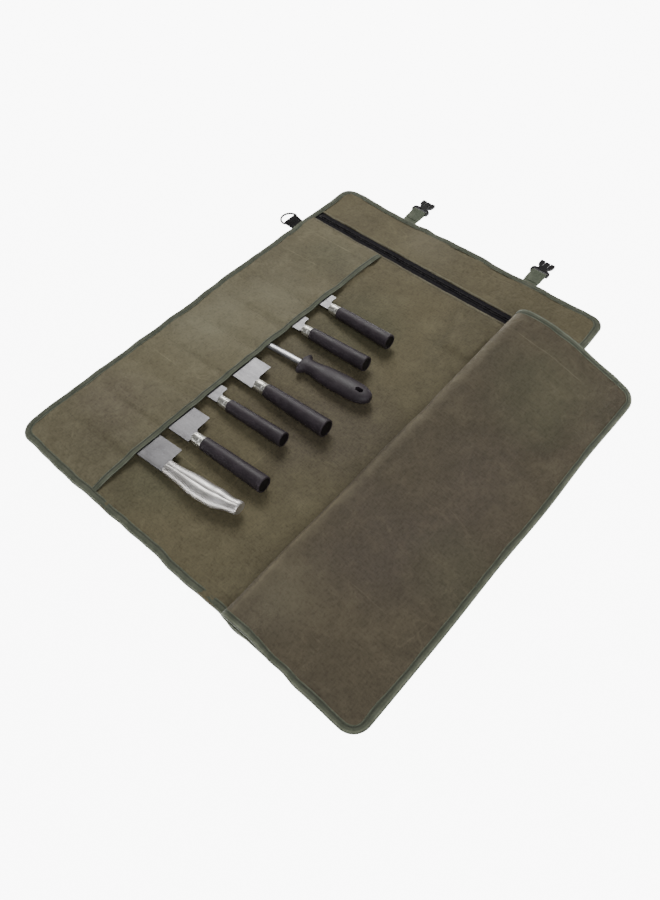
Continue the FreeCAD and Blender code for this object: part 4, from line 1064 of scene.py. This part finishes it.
class Flap:
    """The folded flap as a surface over distance along its section, and Y."""

    def __init__(self):
        front, rear = (np.array(line) for line in FLAP_ENDS)
        lengths = [max(np.linalg.norm(f1 - f0), np.linalg.norm(r1 - r0))
                   for f0, f1, r0, r1 in zip(front, front[1:], rear, rear[1:])]
        counts = [max(int(length / 1.6), 3) for length in lengths]
        self.lines = [self.sampled(line, counts) for line in (front, rear)]
        steps = [np.linalg.norm(np.diff(line, axis=0), axis=1) for line in self.lines]
        self.s = np.concatenate([[0], np.cumsum(np.mean(steps, axis=0))])
        marks = np.concatenate([[0], np.cumsum(counts)])
        self.cuts = (0.0, self.s[marks[CUT_AFTER_FOLD]], self.s[marks[CUT_IN_FALL]], self.s[-1])
        self.calm_from = self.s[marks[CALM_FROM]]

    def sampled(self, line, counts):
        points = [line[:1]]
        for (a, b), count in zip(zip(line, line[1:]), counts):
            share = np.arange(1, count + 1)[:, None] / count
            points.append(a + (b - a) * share)
        points = np.concatenate(points)
        for _ in range(SOFTENING):
            points[1:-1] = points[1:-1] * 0.5 + (points[2:] + points[:-2]) * 0.25
        return points

    def bare(self, s, y):
        t = np.clip((y - FLAP_FRONT) / (FLAP_REAR - FLAP_FRONT), 0, 1)
        front, rear = self.lines
        x = np.interp(s, self.s, front[:, 0]) * (1 - t) + np.interp(s, self.s, rear[:, 0]) * t
        z = np.interp(s, self.s, front[:, 1]) * (1 - t) + np.interp(s, self.s, rear[:, 1]) * t
        return np.stack([x, y + np.zeros_like(x), z], -1)

    def normal(self, s, y):
        step = 1.5
        ahead = self.bare(np.clip(s + step, 0, self.s[-1]), y)
        behind = self.bare(np.clip(s - step, 0, self.s[-1]), y)
        beyond, before = self.bare(s, y + step), self.bare(s, y - step)
        across = beyond - before
        across[..., 1] = 2 * step
        return unit(np.cross(ahead - behind, across))

    def at(self, s, y, height=0.0):
        """A point of the wrinkled cloth, a height off its middle."""
        free = smooth((s - self.cuts[1] + 20) / 25)
        soft = 0.9 * ripples(s, y, 150, 71) + 0.35 * ripples(s, y, 48, 72)
        crease = 0.9 * ridges(s, y, 210, 73, 7) * np.clip(ripples(s, y, 260, 74), 0, 1)
        lie = smooth((s - self.calm_from) / 40)
        wave = free * (soft * (1 - 0.8 * lie) + crease * (1 - 0.5 * lie) + 0.2)
        near_end = smooth(np.minimum(y - FLAP_FRONT, FLAP_REAR - y) / 25)
        wave = np.maximum(wave * (0.35 + 0.65 * near_end), -0.5 + 0.45 * lie)
        hem = 1 - smooth((self.s[-1] - s) / 60)
        ends = (1 - near_end) * free
        wander = (1.1 * ripples(s, s * 0, 120, 75) + 0.5 * ripples(s, s * 0, 38, 78)) * ends
        at_front = smooth((FLAP_FRONT + 40 - y) / 40) * smooth((s - self.cuts[1] - 32) / 40)
        wander = wander - OVERHANG * at_front
        pinch = np.exp(-((s - self.cuts[2] - 22) / 14) ** 2) * at_front
        wave = wave + 0.8 * pinch * np.sin(s * 2 * np.pi / 7.5)
        reach = 1.0 * ripples(y, y * 0, 140, 76) * hem - 0.8 * hem
        point = self.bare(s, y) + self.normal(s, y) * np.asarray(wave + height)[..., None]
        point[..., 1] += wander
        point[..., 0] += reach
        return point


def flap_half(flap, s, inset):
    """Half length of the flap at a distance along it, with rounded free corners."""
    radius = CORNER_RADIUS - inset
    depth = np.clip(radius - (flap.s[-1] - inset - s), 0, radius)
    return (FLAP_REAR - FLAP_FRONT) / 2 - inset - (radius - np.sqrt(radius ** 2 - depth ** 2))


def flap_cloth(flap, name, low, high, look):
    """One stretch of the flap's canvas, over one part of its folded section."""
    tip = high >= flap.s[-1] - 1e-6
    inset = 1.1
    end = high - inset if tip else high
    rows = int((high - low) / (1.2 if high < 140 else 2.4)) + 8
    s = np.linspace(low, end, rows)
    if tip:
        s = np.sort(np.concatenate([s, end - CORNER_RADIUS * (1 - np.cos(np.linspace(0, 1.5, 16)))]))
    half = flap_half(flap, s, inset)
    middle = (FLAP_FRONT + FLAP_REAR) / 2
    share = np.linspace(-1, 1, 200)
    y = middle + half[:, None] * share
    gs = np.repeat(s[:, None], len(share), axis=1)
    top = flap.at(gs, y, FLAP_CANVAS / 2)
    bottom = flap.at(gs, y, -FLAP_CANVAS / 2)
    build = Build()
    build.slab(top, bottom, np.stack([gs, y], -1))
    return build.object(name, [look], 55)


def flap_boundary(low, high, rear):
    """(s, y) along one end of a stretch, and the direction inwards."""
    count = int((high - low) / 2.2) + 3
    s = np.linspace(low, high, count)
    y = np.full(count, FLAP_REAR if rear else FLAP_FRONT)
    inward = np.tile([0.0, -1.0 if rear else 1.0], (count, 1))
    return np.stack([s, y], -1), inward


def tip_boundary(flap, low):
    """Round the free end: the rear end, the rear corner, the free edge, the front corner, the front."""
    radius, edge = CORNER_RADIUS, flap.s[-1]
    rear, rear_in = flap_boundary(low, edge - radius, True)
    front, front_in = flap_boundary(low, edge - radius, False)
    places, inwards = [rear], [rear_in]
    for cy, start in ((FLAP_REAR - radius, 90), (FLAP_FRONT + radius, 0)):
        turn = np.radians(np.linspace(start, start - 90, 14)[1:])
        out = np.stack([np.cos(turn), np.sin(turn)], -1)
        places.append(np.array([edge - radius, cy]) + radius * out)
        inwards.append(-out)
        if start == 90:
            y = np.linspace(FLAP_REAR - radius, FLAP_FRONT + radius, 220)[1:]
            places.append(np.stack([np.full(len(y), edge), y], -1))
            inwards.append(np.tile([-1.0, 0.0], (len(y), 1)))
    places.append(front[::-1][1:])
    inwards.append(front_in[::-1][1:])
    return np.concatenate(places), np.concatenate(inwards)


def flap_tape(flap, build, places, inwards):
    """Tape folded over one length of the flap's edge, with its stitches."""
    run = run_along(places)
    slack = 0.05 * ripples(run, run * 0, 50, 77)
    outline = ((9.0, 0.62), (8.8, 1.0), (7.4, 1.12), (6.2, 1.02), (3.4, 1.25), (1.4, 1.2),
               (0.4, 0.85), (0.0, 0.0), (0.4, -0.85), (1.4, -1.2), (3.0, -1.22), (5.0, -1.1),
               (7.4, -1.1), (7.6, -0.62))
    rings, charts = [], []
    for number, (depth, height) in enumerate(outline):
        wide = depth * (1 + slack * (depth > 4))
        s = np.minimum(places[:, 0] + inwards[:, 0] * wide, flap.s[-1])
        y = places[:, 1] + inwards[:, 1] * wide
        rings.append(flap.at(s, y, np.full(len(s), height)))
        charts.append(np.stack([run, np.full(len(run), number * 1.1)], -1))
    build.tube(np.stack(rings, 1), np.stack(charts, 1))
    s, y = places[:, 0] + inwards[:, 0] * 6.8, places[:, 1] + inwards[:, 1] * 6.8
    line = flap.at(s, y, np.full(len(s), 1.08))
    stitch_row(build, line, flap.normal(s, y), 1, radius=0.24)
    under = flap.at(s, y, np.full(len(s), -1.02))
    stitch_row(build, under, -flap.normal(s, y), 1, radius=0.2)


# Each stretch of the flap: its name, the nodes that its canvas and its tape stand for, the bodies
# before and after the fold that it bends over, and where the bend starts and ends, as (x, z).
FLAP_PIECES = (
    ("root", ("flap_root_panel", "flap_fold_panel"), (), ("base", "flap_fold"),
     (150.0, 5.4), (149.0, 9.6)),
    ("fall", ("flap_mid_panel",), ("flap_mid_binding",), ("flap_fold", "flap_mid"),
     (154.0, 30.0), (163.0, 30.0)),
    ("tip", ("flap_tip_panel",), ("flap_tip_binding",), ("flap_mid", "flap_tip"),
     (219.0, 20.0), (232.0, 20.0)),
)


def bend_over(piece):
    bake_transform(piece)


def flap_look(flap):
    """The outer canvas, rubbed pale along the fold near the front end and along a pressed line near the
    rear end, with a broad painted highlight along the fold's crown.
    """
    crown = flap.cuts[1]
    return waxed_canvas(
        "canvas_flap", (0.056, 0.045, 0.029), (0.090, 0.074, 0.047), (0.137, 0.118, 0.075), 2.3,
        patches=(((crown + 70, -170), 95, BROWN, 0.8), ((crown + 120, -40), 90, BROWN, 0.6),
                 ((crown + 40, -260), 60, (0.137, 0.120, 0.078), 0.6),
                 ((crown + 90, 150), 80, GREEN, 0.5), ((crown + 170, -120), 60, GREEN, 0.35)),
        lines=((0, crown + 1, 3.0, FLAP_FRONT - 20, -120, 0.55),
               # This broad pale band along the fold's crown is a painted highlight.
               (0, crown + 3, 12.0, FLAP_FRONT - 20, FLAP_REAR + 20, 0.40),
               (1, FLAP_REAR - 42, 1.3, crown + 5, crown + 130, 0.45),
               (1, FLAP_FRONT + 120, 1.0, crown + 60, crown + 150, 0.25)))


def flap_pieces():
    flap = Flap()
    look = flap_look(flap)
    for number, (name, nodes, taped, bodies, start, end) in enumerate(FLAP_PIECES):
        low, high = flap.cuts[number], flap.cuts[number + 1]
        cloth = flap_cloth(flap, "flap_" + name + "_canvas", low, high, look)
        build = Build()
        if name == "tip":
            flap_tape(flap, build, *tip_boundary(flap, low))
        else:
            for rear in (True, False):
                places, inwards = flap_boundary(low, high, rear)
                if not rear:
                    places, inwards = places[::-1], inwards[::-1]
                flap_tape(flap, build, places, inwards)
        tape = build.object("flap_" + name + "_tape", [FLAP_TAPE_LOOK, GREEN_THREAD], 60)
        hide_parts(*nodes)
        if taped:
            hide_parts(*taped)
        bend_over(cloth)
        bend_over(tape)
    seam = Build()
    y = np.linspace(FLAP_FRONT + 12, FLAP_REAR - 12, 260)
    for inset in (3.0, 6.5):
        line = np.stack([np.full(260, RIGHT - inset), y, np.full(260, 5.55)], -1)
        stitch_row(seam, line, upward(260), 0)
    joined = seam.object("flap_root_stitches", [GREEN_THREAD], 60)
    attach(joined, "base")


# ---- straps and ring tabs ----------------------------------------------------------------------
def in_plane(points, axis, fixed):
    """(a, z) pairs as points with X, or Y, fixed."""
    if axis == "x":
        return np.array([(fixed, a, z) for a, z in points])
    return np.array([(a, fixed, z) for a, z in points])


def cross_stitches(build, x, y, z, wide):
    """Two rows of thread across a strap."""
    for place in y:
        line = np.stack([np.linspace(x - wide, x + wide, 20), np.full(20, place), np.full(20, z)], -1)
        stitch_row(build, line, upward(20), 1, 2.9, 2.1, 0.26)


def straps():
    for side, (socket_low, socket_high) in zip(("left", "right"), SOCKETS):
        x = (socket_low[0] + socket_high[0]) / 2
        bar_y = socket_high[1] - 1.8
        bar_z = (socket_low[2] + socket_high[2]) / 2
        joint = REAR - 1.5
        lower = [(joint, 0.5), (bar_y + 18, 0.5), (bar_y + 12, 0.52), (bar_y + 4, 0.6)]
        loop = arc_points((bar_y, bar_z), WEBBING_LOOP, -90, -262)
        back = [(bar_y + 6, 4.3), (bar_y + 11, 2.7), (bar_y + 15, 1.75), (bar_y + 20, 1.6)]
        build = Build()
        path = rounded_path(in_plane(lower + loop + back, "x", x), 1.5)
        ribbon(build, path, (1, 0, 0), WEBBING)
        strap = build.object("strap_webbing_" + side, [WEB_LOOK, GREEN_THREAD], 60)
        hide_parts("outer_strap_" + side)
        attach(strap, "base")
        strap_end(side, x, joint)


def strap_end(side, x, joint):
    """The loose end: round the plug's bar, back over itself and sewn across."""
    plug_low, _ = box("buckle_plug_" + side)
    bar_y, bar_z = plug_low[1] + 2.0, plug_low[2] + 2.0
    lower = [(joint, 0.5), (joint + 4, 0.55), (joint + 8, 0.7), (bar_y - 4, 0.7)]
    loop = arc_points((bar_y, bar_z), WEBBING_LOOP, -90, 100)
    back = [(bar_y - 5, 4.2), (bar_y - 10, 2.7), (bar_y - 14, 1.85), (joint + 7.8, 1.75)]
    build = Build()
    path = rounded_path(in_plane(lower + loop + back, "x", x))
    ribbon(build, path, (1, 0, 0), WEBBING)
    cross_stitches(build, x, (joint + 10.5, joint + 14.0), 2.28, WEBBING / 2 - 2.2)
    piece = build.object("strap_end_webbing_" + side, [WEB_LOOK, GREEN_THREAD], 60)
    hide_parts("strap_end_" + side)
    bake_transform(piece)


RING_BAR_OUT = 16.5         # from the base's edge to the D-ring's bar
RING_BAR_Z = 3.0
RING_LOOP = 2.5             # radius of the tab round that bar


def ring_tabs():
    for side, sign in (("left", -1), ("right", 1)):
        low, high = box("ring_tab_" + side)
        edge = LEFT if sign < 0 else RIGHT
        bar = edge + sign * RING_BAR_OUT
        arc = [(bar + sign * RING_LOOP * np.cos(t), RING_BAR_Z + RING_LOOP * np.sin(t))
               for t in np.radians(np.linspace(-90, 100, 16))]
        lower = [(edge - sign * 8.5, 0.5), (edge, 0.5), (bar - sign * 3, 0.5)]
        back = [(bar - sign * 5, 4.9), (bar - sign * 10, 2.9), (edge + sign * 4, 1.75),
                (edge + sign * 1.4, 1.6)]
        build = Build()
        y = (low[1] + high[1]) / 2
        path = rounded_path(in_plane(lower + arc + back, "y", y))
        ribbon(build, path, (0, 1, 0), high[1] - low[1])
        for place in (3.4, 5.8):
            line_y = np.linspace(low[1] + 2, high[1] - 2, 20)
            line = np.stack([np.full(20, edge + sign * place), line_y, np.full(20, 2.25)], -1)
            stitch_row(build, line, upward(20), 1, 2.9, 2.1, 0.24)
        tab = build.object("ring_tab_webbing_" + side, [BLACK_WEB, BLACK_THREAD], 60)
        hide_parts("ring_tab_" + side)
        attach(tab, "base")


# ---- stage, light and camera -------------------------------------------------------------------
CAMERA_AT = Vector((0.4256, -0.4500, 0.7367))
CAMERA_AHEAD = Vector((-0.38246, 0.40912, -0.82846))
CAMERA_RIGHT = Vector((0.75038, 0.66070, -0.02014))
FLOOR_GLOW = 8.5            # the lit paper of a white sweep
CAMERA_LENS = 28.31         # on a 36 mm sensor, along the picture's long side


def camera():
    data = bpy.data.cameras.new("camera")
    data.lens, data.sensor_width = CAMERA_LENS, 36.0
    data.clip_start, data.clip_end = 0.01, 50.0
    made = bpy.data.objects.new("camera", data)
    ahead = CAMERA_AHEAD.normalized()
    right = (CAMERA_RIGHT - ahead * CAMERA_RIGHT.dot(ahead)).normalized()
    turn = Matrix((right, right.cross(ahead), -ahead)).transposed().to_4x4()
    made.matrix_world = Matrix.Translation(CAMERA_AT) @ turn
    bpy.context.scene.collection.objects.link(made)
    bpy.context.scene.camera = made


def soft_light(name, at, aim, size, power, tint=(1, 1, 1)):
    data = bpy.data.lights.new(name, "AREA")
    data.shape, data.size, data.energy, data.color = "DISK", size, power, tint
    made = bpy.data.objects.new(name, data)
    made.location = at
    made.rotation_mode = "QUATERNION"
    made.rotation_quaternion = (Vector(aim) - Vector(at)).to_track_quat("-Z", "Y")
    bpy.context.scene.collection.objects.link(made)


def stage():
    floor = Net("floor_paper", "object")
    grain = floor.noise(300.0, 3.0)
    paper = floor.finish(floor.mix(grain, (0.86, 0.86, 0.865), (0.89, 0.89, 0.893)), 0.75,
                         Emission_Color=(1.0, 1.0, 1.0, 1.0), Emission_Strength=FLOOR_GLOW)
    build = Build()
    side = np.linspace(-4000, 4000, 5)
    gx, gy = np.meshgrid(side, side, indexing="ij")
    flat = np.stack([gx, gy, np.full(gx.shape, -0.05)], -1)
    build.grid(flat, np.stack([gx, gy], -1))
    ground = build.object("floor", [paper])
    world = bpy.data.worlds.new("studio")
    world.use_nodes = True
    tree = world.node_tree
    glow = tree.nodes["Background"]
    sky = tree.nodes.new("ShaderNodeTexCoord")
    height = tree.nodes.new("ShaderNodeSeparateXYZ")
    shade = tree.nodes.new("ShaderNodeMapRange")
    shade.inputs["From Min"].default_value, shade.inputs["From Max"].default_value = 0.10, 0.75
    shade.inputs["To Min"].default_value, shade.inputs["To Max"].default_value = 1.35, 2.15
    tree.links.new(sky.outputs["Generated"], height.inputs["Vector"])
    tree.links.new(height.outputs["Z"], shade.inputs["Value"])
    tree.links.new(shade.outputs["Result"], glow.inputs["Strength"])
    bpy.context.scene.world = world
    soft_light("key", (-1.3, 1.5, 2.1), (0, 0, 0), 1.6, 70, (1.0, 0.99, 0.97))
    soft_light("fill", (1.6, -1.2, 1.9), (0, 0, 0), 2.2, 40, (0.97, 0.98, 1.0))


camera()
stage()
dress_carried_nodes()
open_base()
edge_binding()
zip_pieces(pocket_pieces())
flap_pieces()
straps()
ring_tabs()
